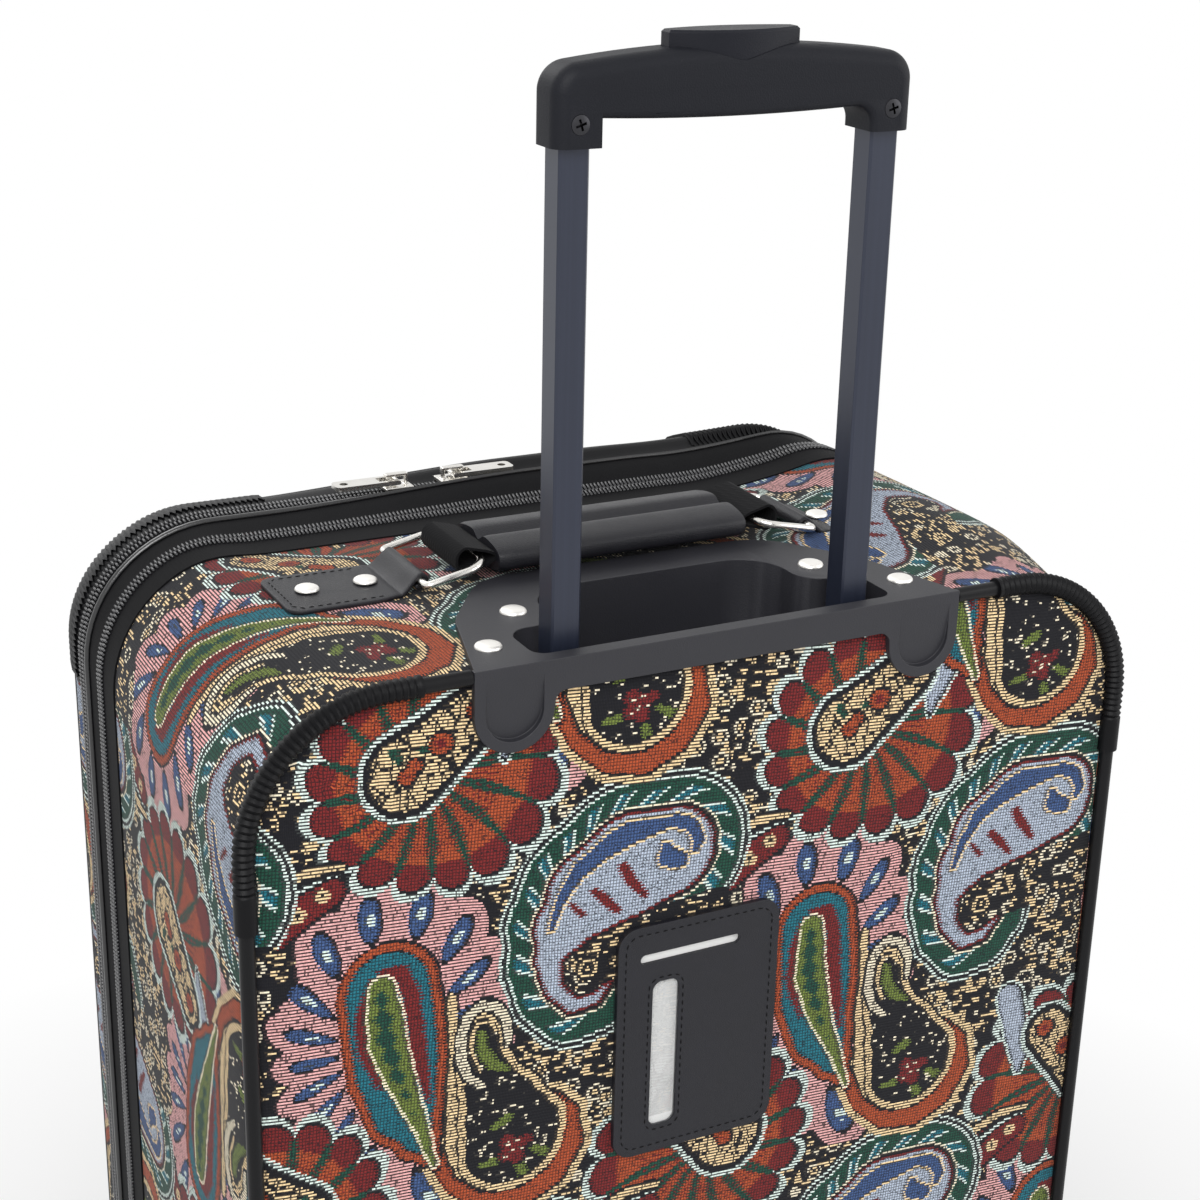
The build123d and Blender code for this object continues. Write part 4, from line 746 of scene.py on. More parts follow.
def woven_cloth(name, colour, pitch, tone=0.35):
    """Plain weave for lining, tape and webbing."""
    f = Finish(name)
    place = f.object_place()
    x, y, z = f.split(place)
    across = f.math("PINGPONG", f.math("DIVIDE", f.math("ADD", x, y), pitch), 0.5)
    along = f.math("PINGPONG", f.math("DIVIDE", f.math("SUBTRACT", z, x), pitch), 0.5)
    weave = f.math("MULTIPLY", across, along)
    patchy = f.noise(place, 60, 3)
    shade = f.math("MULTIPLY_ADD", patchy, tone, f.math("MULTIPLY_ADD", weave, 1.6, 1 - tone))
    f.shaded(f.within(shade, 0.5, 1.3), colour, 0.72, 1.25)
    f.bump(weave, pitch * 0.5, 0.5)
    f.surface(Roughness=0.88, Sheen_Weight=0.02, Specular_IOR_Level=0.12)
    return f.material


def moulded(name, colour, grain, roughness, coat=0.0, shine=0.14):
    """Moulded plastic or rubber with a fine pebbled skin."""
    f = Finish(name)
    place = f.object_place()
    pebbles = f.cells(place, grain)["Distance"]
    patchy = f.noise(place, 25, 4)
    f.shaded(patchy, colour, 0.86, 1.16)
    f.bump(pebbles, 0.00012, 0.45)
    rough = f.math("MULTIPLY_ADD", patchy, 0.16, roughness - 0.08)
    f.surface(Roughness=rough, Coat_Weight=coat, Coat_Roughness=0.2, Specular_IOR_Level=shine)
    return f.material


def plated(name, colour, roughness):
    """Polished metal with faint wear."""
    f = Finish(name)
    place = f.object_place()
    wear = f.noise(place, 220, 5)
    f.shaded(wear, colour, 0.86, 1.0)
    f.bump(f.noise(place, 900, 2), 0.00003, 0.2)
    f.surface(Metallic=1.0, Roughness=f.math("MULTIPLY_ADD", wear, 0.16, roughness - 0.05))
    return f.material


def painted_tube(name, colour):
    """Satin dark tube with fine drawing lines along it."""
    f = Finish(name)
    lines = f.noise(f.vector("MULTIPLY", f.object_place(), (900, 900, 6)), 1.0, 3)
    f.shaded(lines, colour, 0.85, 1.2)
    f.bump(lines, 0.00002, 0.3)
    rough = f.math("MULTIPLY_ADD", lines, 0.12, 0.30)
    f.surface(Metallic=0.35, Roughness=rough, Coat_Weight=0.2, Coat_Roughness=0.25)
    return f.material


def grained_leather(name, colour, grain=900):
    """Coated leather with a small creased grain."""
    f = Finish(name)
    place = f.object_place()
    cell = f.cells(place, grain, "DISTANCE_TO_EDGE")["Distance"]
    folds = f.noise(place, 90, 5)
    f.shaded(folds, colour, 0.8, 1.22)
    height = f.math("MULTIPLY_ADD", folds, 0.8, f.within(cell, 0.0, 0.12))
    f.bump(height, 0.00014, 0.4)
    f.surface(Roughness=f.math("MULTIPLY_ADD", folds, 0.2, 0.32), Specular_IOR_Level=0.32)
    return f.material


def clear_pane(name, colour):
    """Thin clear sheet with a slight ripple."""
    f = Finish(name)
    f.colour(colour)
    f.bump(f.noise(f.object_place(), 70, 2), 0.0004, 0.3)
    f.surface(Roughness=0.08, Alpha=0.16)
    return f.material


def plain_card(name, colour):
    """Uncoated card with a faint fibre."""
    f = Finish(name)
    fibre = f.noise(f.object_place(), 600, 4)
    f.shaded(fibre, colour, 0.94, 1.0)
    f.bump(fibre, 0.00005, 0.3)
    f.surface(Roughness=0.6)
    return f.material


def make_finishes():
    """Every finish by its name, from its maker and that maker's values."""
    trim = trim_settings()
    recipes = {
        "lining_cloth": (woven_cloth, cloth_settings().lining, 0.0011),
        "vinyl_piping": (moulded, trim.vinyl, 1600, 0.42, 0.12),
        "welt_vinyl": (moulded, trim.vinyl, 1600, 0.30, 0.7, 0.4),
        "moulded_corner": (moulded, trim.vinyl, 2200, 0.46),
        "zip_tape": (woven_cloth, trim.tape, 0.0009),
        # Zip teeth lighter than the tape, partly as a painted highlight
        "zip_coil": (moulded, trim.coil, 2600, 0.26, 0.3, 0.5),
        "moulded_plastic": (moulded, trim.plastic, 1500, 0.50),
        "cup_plastic": (moulded, trim.cup, 1500, 0.52, 0.0, 0.42),
        "button_plastic": (moulded, trim.button, 2400, 0.45),
        "caster_plastic": (moulded, trim.caster, 1800, 0.45),
        "nickel": (plated, trim.nickel, 0.17),
        # Lighter nickel of the rivet caps: painted highlight
        "rivet_nickel": (plated, trim.rivet, 0.40),
        "black_steel": (plated, trim.screw, 0.35),
        "bright_steel": (plated, trim.steel, 0.32),
        "painted_tube": (painted_tube, trim.tube),
        "handle_leather": (grained_leather, trim.leather),
        "tag_vinyl": (grained_leather, trim.vinyl_tag, 1300),
        "webbing": (woven_cloth, trim.webbing, 0.0022, 0.5),
        "sewing_thread": (moulded, trim.thread, 3000, 0.6),
        "clear_pane": (clear_pane, trim.pane),
        "card": (plain_card, trim.card),
        "wheel_rubber": (moulded, trim.tyre, 1400, 0.6),
    }
    return {name: maker(name, *values) for name, (maker, *values) in recipes.items()}


FINISHES = {}


def finish_of(name):
    """One finish by its slot name, or a tapestry by its motifs."""
    if not FINISHES:
        FINISHES.update(make_finishes())
    if name not in FINISHES:
        FINISHES[name] = tapestry_cloth(name)
    return FINISHES[name]


def mesh_of(bm, name):
    """A mesh made from a form, which is freed."""
    mesh = bpy.data.meshes.new(name)
    bm.to_mesh(mesh)
    bm.free()
    return mesh


def placed(name, data):
    """A new object in the scene."""
    made = bpy.data.objects.new(name, data)
    bpy.context.scene.collection.objects.link(made)
    return made


def finished_piece(name, bm, finishes, body, replaced=(), sharp=40.0):
    """Turn a form into a named piece that stands for its nodes and rides on a body, if it has just one."""
    mesh = mesh_of(bm, name)
    for finish in finishes:
        mesh.materials.append(finish_of(finish))
    mesh.shade_smooth()
    mesh.set_sharp_from_angle(angle=math.radians(sharp))
    piece = placed(name, mesh)
    if body:
        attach(piece, body)
    if replaced:
        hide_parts(*replaced)
    return piece


def dress_node(name, finish):
    """Give a node that stays as it is its finish."""
    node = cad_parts[name]
    node.data.materials.clear()
    node.data.materials.append(finish_of(finish))


def evaluated_mesh(piece):
    """The piece's mesh with its modifiers applied, and the piece removed."""
    graph = bpy.context.evaluated_depsgraph_get()
    mesh = bpy.data.meshes.new_from_object(piece.evaluated_get(graph))
    bpy.data.objects.remove(piece)
    return mesh


def take_mesh(bm, mesh):
    """Add a mesh to a form, and remove the mesh."""
    bm.from_mesh(mesh)
    bpy.data.meshes.remove(mesh)


def loose_object(bm, name):
    """A helper object for modifiers, removed once they are applied."""
    return placed(name, mesh_of(bm, name))


def outline_runs(radius):
    """The straight and bent runs round the case, clockwise from the middle of its foot."""
    across = SIDE - radius
    bend = radius * QUARTER_TURN
    upright = TOP - FOOT - 2 * radius
    return (
        (across, False), (bend, True), (upright, False), (bend, True), (2 * across, False),
        (bend, True), (upright, False), (bend, True), (across, False),
    )


def outline_length():
    return sum(run for run, _ in outline_runs(cloth_settings().corner_radius))


def round_the_case(length, out=0.0):
    """The (x, z) point at a length along the case's outline, moved out by a distance."""
    radius = cloth_settings().corner_radius
    place = Vector((0, FOOT))
    heading = Vector((-1, 0))
    left = length % outline_length()
    for run, bends in outline_runs(radius):
        outward = Vector((-heading.y, heading.x))
        swing = min(left, run) / radius
        turned = Matrix.Rotation(-swing, 2) @ outward
        end = place - outward * radius + turned * radius if bends else place + heading * min(left, run)
        if left <= run:
            return end + (turned if bends else outward) * out
        left -= run
        place = end
        heading = Matrix.Rotation(-QUARTER_TURN, 2) @ heading if bends else heading
    return place + outward * out


def smooth_share(value, low, high):
    """0 before low, 1 after high, and a smooth rise between."""
    share = min(1.0, max(0.0, (value - low) / (high - low)))
    return share * share * (3 - 2 * share)


# Half width of the strip along the main zip that stays plain
ZIP_STRIP = 0.0074


def clear_of_zip(y):
    """0 along the main zip, where the sliders run on the plain outline, and 1 beside it."""
    return smooth_share(abs(y - SPLIT), ZIP_STRIP, 0.0105 if y < SPLIT else 0.014)


def crown_lift(x, y, z):
    """Rise of the top of the case at its welt and on the lid, after a slight dip behind the handle."""
    cloth = cloth_settings()
    over = smooth_share(z, TOP - 0.030, TOP - 0.004)
    middle = 1 - smooth_share(abs(x - 0.035), 0.020, SIDE - 0.045)
    rise = smooth_share(y, BAND_LOW.y + 0.012, BAND_HIGH.y)
    dip = smooth_share(y, BAND_LOW.y - 0.030, BAND_LOW.y) * (1 - rise)
    flat = 1 - smooth_share(abs(x), SIDE - 0.070, SIDE - 0.030)
    return over * clear_of_zip(y) * (cloth.crown * middle * rise - cloth.dip * flat * dip)


def outward_moves(x, y, z):
    """How far the cloth stands out at the full corner on the hinge side, and draws in at the lid's taper."""
    cloth = cloth_settings()
    length, _ = outline_place(x, z)
    runs = [run for run, _ in outline_runs(cloth.corner_radius)]
    corner = sum(runs[:5]) + runs[5] / 2
    near = 1 - smooth_share(abs(length - corner), 0.010, 0.105)
    depth = smooth_share(y, BACK + 0.004, BACK + 0.080) * (1 - 0.7 * smooth_share(y, SPLIT, FRONT))
    high = smooth_share(z, TOP - 0.060, TOP)
    taper = smooth_share(y, SPLIT + ZIP_STRIP, FRONT + 0.012) * (cloth.taper + high * cloth.top_taper)
    return cloth.full_corner * near * depth, 1.3 * taper


def settle(bm):
    """Give what lies on the case's outline its soft shape."""
    for vertex in bm.verts:
        x, y, z = vertex.co
        _, outward = outline_place(x, z)
        inside = 1 - smooth_share(edge_distance(x, z), 0.004, 0.060)
        bulge, taper = outward_moves(x, y, z)
        aside = bulge * (1 - smooth_share(y, BAND_LOW.y, BAND_HIGH.y)) - taper
        upward = bulge * clear_of_zip(y) - taper
        lift = crown_lift(x, y, z)
        vertex.co += Vector((outward.x * aside, 0, outward.y * upward + lift)) * inside


def wrap_round_case(bm):
    """Bend a straight piece round the case: x is outwards, y stays, z is the length along the outline."""
    for vertex in bm.verts:
        place = round_the_case(vertex.co.z, vertex.co.x)
        vertex.co = (place.x, vertex.co.y, place.y)
    # The bend mirrors the piece, so its faces are turned outwards again
    bmesh.ops.reverse_faces(bm, faces=bm.faces)


def round_corners(bm, half_width, half_height, radius, centre):
    """Draw the square corners of an x-z grid in to a radius."""
    for vertex in bm.verts:
        x = vertex.co.x - centre.x
        z = vertex.co.z - centre.z
        over = Vector((abs(x) - half_width + radius, abs(z) - half_height + radius))
        if min(over) <= 0:
            continue
        over *= max(over) / over.length
        vertex.co.x = centre.x + math.copysign(half_width - radius + over.x, x)
        vertex.co.z = centre.z + math.copysign(half_height - radius + over.y, z)


def panel_grid(half_width, half_height, radius, centre, pitch, facing):
    """A flat upright grid with round corners; facing is -1 to the back and 1 to the front."""
    bm = bmesh.new()
    columns = round(2 * half_width / pitch)
    rows = round(2 * half_height / pitch)
    bmesh.ops.create_grid(bm, x_segments=columns, y_segments=rows, size=1)
    shape = Matrix.Translation(centre) @ Matrix.Rotation(QUARTER_TURN, 4, "X")
    shape = shape @ Matrix.Diagonal((half_width, half_height, 1, 1))
    bmesh.ops.transform(bm, matrix=shape, verts=bm.verts)
    round_corners(bm, half_width, half_height, radius, centre)
    if facing > 0:
        bmesh.ops.reverse_faces(bm, faces=bm.faces)
    return bm


def open_edges(bm):
    return [edge for edge in bm.edges if edge.is_boundary]


def extrude_through(bm, edges, places, axis):
    """Draw edges out to one place on an axis after another."""
    for place in places:
        made = bmesh.ops.extrude_edge_only(bm, edges=edges)["geom"]
        fresh = {item for item in made if isinstance(item, bmesh.types.BMVert)}
        for vertex in fresh:
            vertex.co[axis] = place
        edges = [item for item in made if isinstance(item, bmesh.types.BMEdge) and set(item.verts) <= fresh]


def face_outwards(bm):
    bmesh.ops.recalc_face_normals(bm, faces=bm.faces)


def give_thickness(bm, thickness):
    """Make a wall of a sheet."""
    face_outwards(bm)
    bmesh.ops.solidify(bm, geom=list(bm.faces), thickness=thickness)
    face_outwards(bm)


def span_steps(start, end, pitch):
    """Even places after start up to end."""
    count = max(1, round(abs(end - start) / pitch))
    return [start + (end - start) * (index + 1) / count for index in range(count)]


def outline_place(x, z):
    """How far round the outline a point lies, and its outward direction."""
    radius = cloth_settings().corner_radius
    across = SIDE - radius
    upright = (TOP - FOOT) / 2 - radius
    runs = outline_runs(radius)
    dx = abs(x) - across
    dz = abs(z - MIDDLE) - upright
    left = x < 0
    high = z > MIDDLE
    bend = runs[1][0]
    start_side = runs[0][0] + bend
    if dx > 0 and dz > 0:
        swing = math.atan2(dx, dz)
        reach = across + radius * swing
        outward = Vector((math.copysign(math.sin(swing), x), math.copysign(math.cos(swing), z - MIDDLE)))
    elif dz >= dx:
        reach = abs(x)
        outward = Vector((0, math.copysign(1, z - MIDDLE)))
    else:
        reach = start_side + upright - abs(z - MIDDLE)
        outward = Vector((math.copysign(1, x), 0))
    quarter = start_side + upright
    length = reach
    if high:
        length = 2 * quarter - reach
    if not left:
        length = 4 * quarter - length
    return length, outward


def edge_distance(x, z):
    """How far inside the case's outline a point of a panel lies."""
    radius = cloth_settings().corner_radius
    dx = SIDE - abs(x)
    dz = (TOP - FOOT) / 2 - abs(z - MIDDLE)
    if dx < radius and dz < radius:
        return radius - math.hypot(radius - dx, radius - dz)
    return min(dx, dz)


def puff_sides(bm, start, end, amount, clear_top):
    """Stand the sides out between two depths, and tuck them in beside the piping."""
    tuck = cloth_settings().tuck
    for vertex in bm.verts:
        x, y, z = vertex.co
        share = (y - start) / (end - start)
        if not 0 < share < 1:
            continue
        _, outward = outline_place(x, z)
        reach = abs(y - start)
        swell = amount * math.sin(HALF_TURN * share) ** 0.8
        if clear_top and z > TOP - 0.012:
            swell *= smooth_share(abs(x), SIDE - 0.045, SIDE - 0.004)
        swell -= tuck * (1 - smooth_share(reach, 0.002, 0.010))
        vertex.co.x += outward.x * swell
        vertex.co.z += outward.y * swell


def dip_panel(bm, plane, facing):
    """Sink a flat panel a little beside its piping."""
    tuck = cloth_settings().tuck
    for vertex in bm.verts:
        if abs(vertex.co.y - plane) < MM / 10:
            inside = edge_distance(vertex.co.x, vertex.co.z)
            vertex.co.y -= facing * tuck * (1 - smooth_share(inside, 0.003, 0.013))


# How squarely a face of the flat panels looks back or front
FLAT = 0.8


def lay_cloth(bm, facing, panel_shift, side_shift):
    """Cloth coordinates in metres: flat on the panel, and round the case on its sides."""
    layer = bm.loops.layers.uv.new("cloth")
    lean = Matrix.Rotation(cloth_settings().lean, 2)
    around = outline_length()
    for face in bm.faces:
        flat = abs(face.normal.y) > FLAT
        lengths = [outline_place(loop.vert.co.x, loop.vert.co.z)[0] for loop in face.loops]
        seam = max(lengths) - min(lengths) > around / 2
        for loop, length in zip(face.loops, lengths):
            x, y, z = loop.vert.co
            if flat:
                place = lean @ Vector((-facing * x - panel_shift[0], z - panel_shift[1]))
            else:
                wrapped = length + around if seam and length < around / 2 else length
                place = Vector((-y - side_shift[0], side_shift[1] - wrapped))
            loop[layer].uv = place


# Half width and depth of the trolley cup's wide and narrow wells
WELLS = ((0.0822, 0.0332), (0.0582, 0.0702))


def open_well(bm, room):
    """Cut the cloth away where the trolley cup's wells go down."""
    def in_well(place):
        depth = place.y - BACK
        return place.z >= TOP - 0.006 and any(
            abs(place.x) < half + room and depth < reach + room for half, reach in WELLS
        )

    top = [face for face in bm.faces if face.normal.z > 0.5]
    cut = [face for face in top if any(in_well(vertex.co) for vertex in face.verts)]
    bmesh.ops.delete(bm, geom=cut, context="FACES")


def soften(piece, levels=1):
    """Smooth a piece with subdivision, leaving its cloth coordinates as laid."""
    modifier = piece.modifiers.new("Soft", "SUBSURF")
    modifier.levels = levels
    modifier.render_levels = levels
    modifier.uv_smooth = "NONE"


def thicken(piece, thickness, inner=0):
    """Give a sheet its thickness inwards, with another finish on the inner side."""
    modifier = piece.modifiers.new("Thickness", "SOLIDIFY")
    modifier.thickness = thickness
    modifier.offset = -1
    modifier.material_offset = inner
    modifier.material_offset_rim = inner


def cloth_shell(plane, facing, steps, rim, puff, panel_shift, side_shift):
    """A padded panel with its sides drawn out through the given depths."""
    cloth = cloth_settings()
    centre = Vector((0, plane, MIDDLE))
    bm = panel_grid(SIDE, (TOP - FOOT) / 2, cloth.corner_radius, centre, cloth.grid, facing)
    extrude_through(bm, open_edges(bm), steps, 1)
    face_outwards(bm)
    bm.normal_update()
    lay_cloth(bm, facing, panel_shift, side_shift)
    puff_sides(bm, plane, rim, puff, facing < 0)
    dip_panel(bm, plane, facing)
    return bm


def padded_shell(name, bm, finishes, body, node, thickness):
    """Finish a shell of tapestry, with the last finish on its inner side."""
    piece = finished_piece(name, bm, finishes, body, [node], sharp=180)
    thicken(piece, thickness, len(finishes) - 1)
    soften(piece)


class SUITCASE_OT_case_cloth(bpy.types.Operator):
    """Cover the body of the case with padded tapestry"""
    bl_idname = "suitcase.case_cloth"
    bl_label = "Case Cloth"

    def execute(self, context):
        cloth = cloth_settings()
        near = [BACK + 0.002, BACK + 0.005, BACK + 0.010]
        steps = near + span_steps(near[-1], BAND_LOW.y, cloth.grid) + span_steps(BAND_LOW.y, RIM, 0.012)
        bm = cloth_shell(BACK, -1, steps, BAND_LOW.y, cloth.puff, (0.0599, 0.6082), (0.028, 0.6312))
        open_well(bm, 0.0015)
        settle(bm)
        finishes = [*sort_tapestry(bm), "lining_cloth"]
        padded_shell("case_cloth", bm, finishes, "case", "case_tub", cloth.thickness)
        dress_node("lining_panel", "lining_cloth")
        return {"FINISHED"}


class SUITCASE_OT_lid_cloth(bpy.types.Operator):
    """Cover the lid and its pocket with padded tapestry"""
    bl_idname = "suitcase.lid_cloth"
    bl_label = "Lid Cloth"

    def execute(self, context):
        cloth = cloth_settings()
        near = [FRONT - 0.002, FRONT - 0.005]
        steps = near + span_steps(near[-1], LID_RIM, 0.0045)
        bm = cloth_shell(FRONT, 1, steps, LID_RIM, cloth.lid_puff, (0.02, 0.55), (-0.02, 0.62))
        tapestry = sort_tapestry(bm)
        for face in bm.faces:
            inside = (TOP - FOOT) / 2 - abs(face.calc_center_median().z - MIDDLE)
            if abs(face.normal.y) < FLAT and inside < cloth.lid_border:
                face.material_index = len(tapestry)
        settle(bm)
        finishes = [*tapestry, "moulded_corner", "lining_cloth"]
        padded_shell("lid_cloth", bm, finishes, "lid", "lid_shell", cloth.lid_thickness)
        self.pocket()
        return {"FINISHED"}

    def pocket(self):
        """Padded pocket: a closed pad swollen by a short cloth simulation, with a valley for its zip."""
        low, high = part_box("front_pocket")
        half = (high - low) / 2
        centre = (high + low) / 2
        seat = low.y + 0.0006
        margin = 0.004
        narrowing = 0.985
        back = Vector((centre.x, seat, centre.z))
        bm = panel_grid(half.x - margin, half.z - margin, 0.034, back, 0.008, 1)
        extrude_through(bm, open_edges(bm), [seat + 0.003, seat + 0.0052], 1)
        for vertex in {vertex for edge in open_edges(bm) for vertex in edge.verts}:
            vertex.co.x *= narrowing
            vertex.co.z = centre.z + (vertex.co.z - centre.z) * narrowing
        bmesh.ops.holes_fill(bm, edges=open_edges(bm), sides=0)
        face_outwards(bm)
        pad = loose_object(bm, "pad")
        remesh = pad.modifiers.new("Even", "REMESH")
        remesh.mode = "VOXEL"
        remesh.voxel_size = 0.0045
        bm = bmesh.new()
        take_mesh(bm, self.swell(evaluated_mesh(pad), seat, high.y - 0.0012))
        zip_low, zip_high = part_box("pocket_zip")
        middle = (zip_low.z + zip_high.z) / 2
        floor = zip_low.y - 0.0004
        for vertex in bm.verts:
            near = 1 - smooth_share(abs(vertex.co.z - middle), 0.009, 0.016)
            end = 1 - smooth_share(abs(vertex.co.x), zip_high.x, zip_high.x + 0.010)
            vertex.co.y += min(0.0, floor - vertex.co.y) * near * end
        layer = bm.loops.layers.uv.new("cloth")
        for face in bm.faces:
            for loop in face.loops:
                loop[layer].uv = (-loop.vert.co.x - 0.03, loop.vert.co.z - 0.52)
        piece = finished_piece(
            "pocket_pad", bm, sort_tapestry(bm), "lid", ["front_pocket"], sharp=180,
        )
        soften(piece)

    def swell(self, mesh, floor, ceiling):
        """Blow the pad up with cloth pressure, held inside its depth."""
        pad = placed("swelling", mesh)
        held = pad.vertex_groups.new(name="sewn")
        sewn = [vertex.index for vertex in mesh.vertices if vertex.co.y < floor + 0.0025]
        held.add(sewn, 1.0, "REPLACE")
        rest = [vertex.co.copy() for vertex in mesh.vertices]
        modifier = pad.modifiers.new("Cloth", "CLOTH")
        settings = modifier.settings
        settings.vertex_group_mass = "sewn"
        settings.use_pressure = True
        settings.uniform_pressure_force = 4.0
        settings.effector_weights.gravity = 0
        scene = bpy.context.scene
        for step in range(1, 21):
            scene.frame_set(step)
        swollen = evaluated_mesh(pad)
        limit = 0.006
        for vertex, start in zip(swollen.vertices, rest):
            move = vertex.co - start
            vertex.co = start + move * min(1.0, limit / max(move.length, MM / 1000))
            vertex.co.y = min(max(vertex.co.y, floor), ceiling)
        scene.frame_set(1)
        return swollen


def tube(radius, segments, places):
    """An open round tube along Z, with a ring of points at each place."""
    bm = bmesh.new()
    bmesh.ops.create_circle(bm, cap_ends=False, segments=segments, radius=radius)
    bmesh.ops.translate(bm, vec=(0, 0, places[0]), verts=bm.verts)
    extrude_through(bm, list(bm.edges), places[1:], 2)
    return bm


# Spacing of the points along cords and tapes
CORD_PITCH = 0.006


def cord_round_case(radius, segments, start, end, pitch=CORD_PITCH):
    """A straight round cord along Z, ready to be bent round the case."""
    return tube(radius, segments, [start, *span_steps(start, end, pitch)])


def close_seams(bm):
    """Merge meeting ends, close holes and face outwards."""
    bmesh.ops.remove_doubles(bm, verts=bm.verts, dist=MM / 50)
    bmesh.ops.holes_fill(bm, edges=open_edges(bm), sides=0)
    face_outwards(bm)


def add_copy(whole, bm, matrix):
    """Add a placed copy of a form to a larger one."""
    mesh = bpy.data.meshes.new("copy")
    bm.to_mesh(mesh)
    mesh.transform(matrix)
    if matrix.determinant() < 0:
        mesh.flip_normals()
    take_mesh(whole, mesh)


def move_into(whole, bm, place=(0, 0, 0)):
    """Add a form to a larger one at a place, and free it."""
    add_copy(whole, bm, Matrix.Translation(place))
    bm.free()


class SUITCASE_OT_edging(bpy.types.Operator):
    """Sew on the piping, the welt and the ribbed corners"""
    bl_idname = "suitcase.edging"
    bl_label = "Edging"

    def execute(self, context):
        trim = trim_settings()
        top_middle = outline_length() / 2
        reach = CUP_HIGH.x + 0.0003
        around = outline_length()
        bm = cord_round_case(trim.piping_radius, 14, top_middle + reach - around, top_middle - reach)
        self.lay(bm, BACK)
        finished_piece("back_piping_cord", bm, ["vinyl_piping"], "case", ["back_piping"])
        bm = cord_round_case(trim.piping_radius, 14, 0, around)
        self.lay(bm, FRONT)
        settle(bm)
        finished_piece("lid_piping_cord", bm, ["vinyl_piping"], "lid", ["lid_piping"])
        welt_low, welt_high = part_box("body_welt")
        thick = (welt_high.y - welt_low.y) / 2
        bm = cord_round_case(thick, 12, 0, around)
        bmesh.ops.translate(bm, vec=(thick * 0.9, 0, 0), verts=bm.verts)
        self.lay(bm, (welt_low.y + welt_high.y) / 2)
        settle(bm)
        finished_piece("welt_cord", bm, ["welt_vinyl"], "case", ["body_welt"])
        self.sleeves()
        self.guards()
        return {"FINISHED"}

    def lay(self, bm, depth):
        bmesh.ops.translate(bm, vec=(0, depth, 0), verts=bm.verts)
        wrap_round_case(bm)
        close_seams(bm)

    def corner_starts(self, legs):
        """Where each corner sleeve starts and ends along the outline, and whether it climbs to the top."""
        runs = [run for run, _ in outline_runs(cloth_settings().corner_radius)]
        top_leg, side_leg = legs
        spans = []
        total = 0.0
        for index, run in enumerate(runs):
            if index % 2:
                first, last = (side_leg, top_leg) if index in (3, 7) else (top_leg, side_leg)
                spans.append((total - first, total + run + last, index in (3, 7)))
            total += run
        return spans

    def ribbed_tube(self, radius, start, end, smooth_start, smooth_end):
        """A tube with round ribs along its length, plain for a stretch at either end."""
        trim = trim_settings()
        pitch = trim.rib_pitch
        bm = cord_round_case(radius, 14, start, end, pitch / 4)
        for vertex in bm.verts:
            length = vertex.co.z
            wave = 0.5 - 0.5 * math.cos(2 * HALF_TURN * (length - start) / pitch)
            if length < start + smooth_start or length > end - smooth_end:
                wave = 0.9
            grow = 1 - trim.rib_depth * (1 - wave) / radius
            vertex.co.x *= grow
            vertex.co.y *= grow
        return bm

    def sleeves(self):
        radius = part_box("back_corner_sleeves")[1].x - SIDE
        plain = 0.016
        whole = bmesh.new()
        for start, end, rising in self.corner_starts((0.012, 0.028)):
            bm = self.ribbed_tube(radius, start, end, plain if rising else 0.002, 0.002 if rising else plain)
            self.lay(bm, BACK)
            move_into(whole, bm)
        finished_piece("ribbed_sleeves", whole, ["moulded_corner"], "case", ["back_corner_sleeves"], sharp=60)

    def guards(self):
        """Black corner covers of the lid, ribbed along the front edge."""
        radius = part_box("lid_corner_guards")[1].x - SIDE
        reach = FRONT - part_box("main_zip_front")[1].y
        whole = bmesh.new()
        for start, end, _ in self.corner_starts((0.030, 0.012)):
            bm = self.ribbed_tube(radius, start, end, 0.001, 0.001)
            for vertex in bm.verts:
                if vertex.co.y < 0:
                    share = min(1.0, -vertex.co.y / radius)
                    plain = radius * (1 - 0.35 * share)
                    vertex.co.y *= reach / radius
                    vertex.co.x = math.copysign(max(abs(vertex.co.x), plain * 0.8), vertex.co.x)
            self.lay(bm, FRONT)
            settle(bm)
            move_into(whole, bm)
        finished_piece("ribbed_guards", whole, ["moulded_corner"], "lid", ["lid_corner_guards"], sharp=60)


def tooth_row(count, pitch, start, out, depth, shift):
    """A straight row of rounded teeth along Z, each lying along Y."""
    trim = trim_settings()
    width = pitch * 0.62
    bm = bmesh.new()
    bmesh.ops.create_cube(bm, size=1)
    bmesh.ops.scale(bm, vec=(trim.tooth_height, trim.tooth_length, width), verts=bm.verts)
    bmesh.ops.bevel(
        bm, geom=list(bm.edges), offset=width * 0.30, affect="EDGES", segments=1, profile=0.5, material=-1,
    )
    bmesh.ops.translate(bm, vec=(out, depth, start + shift), verts=bm.verts)
    row = loose_object(bm, "row")
    array = row.modifiers.new("Row", "ARRAY")
    array.use_relative_offset = False
    array.use_constant_offset = True
    array.constant_offset_displace = (0, 0, pitch)
    array.count = count
    return evaluated_mesh(row)


def tape_strip(low, high, start, end, thickness):
    """A straight strip of tape along Z with thin rounded borders."""
    bm = bmesh.new()
    bmesh.ops.create_grid(bm, x_segments=1, y_segments=6, size=0.5)
    shape = Matrix.Translation((0, (low + high) / 2, start)) @ Matrix.Diagonal((0, high - low, 1, 1))
    bmesh.ops.transform(bm, matrix=shape, verts=bm.verts)
    bmesh.ops.remove_doubles(bm, verts=bm.verts, dist=MM / 100)
    bmesh.ops.delete(bm, geom=list(bm.faces), context="FACES_ONLY")
    extrude_through(bm, list(bm.edges), span_steps(start, end, CORD_PITCH), 2)
    bmesh.ops.solidify(bm, geom=list(bm.faces), thickness=thickness)
    for vertex in bm.verts:
        vertex.co.x = thickness if abs(vertex.co.x) > thickness / 2 else 0.0
    face_outwards(bm)
    return bm


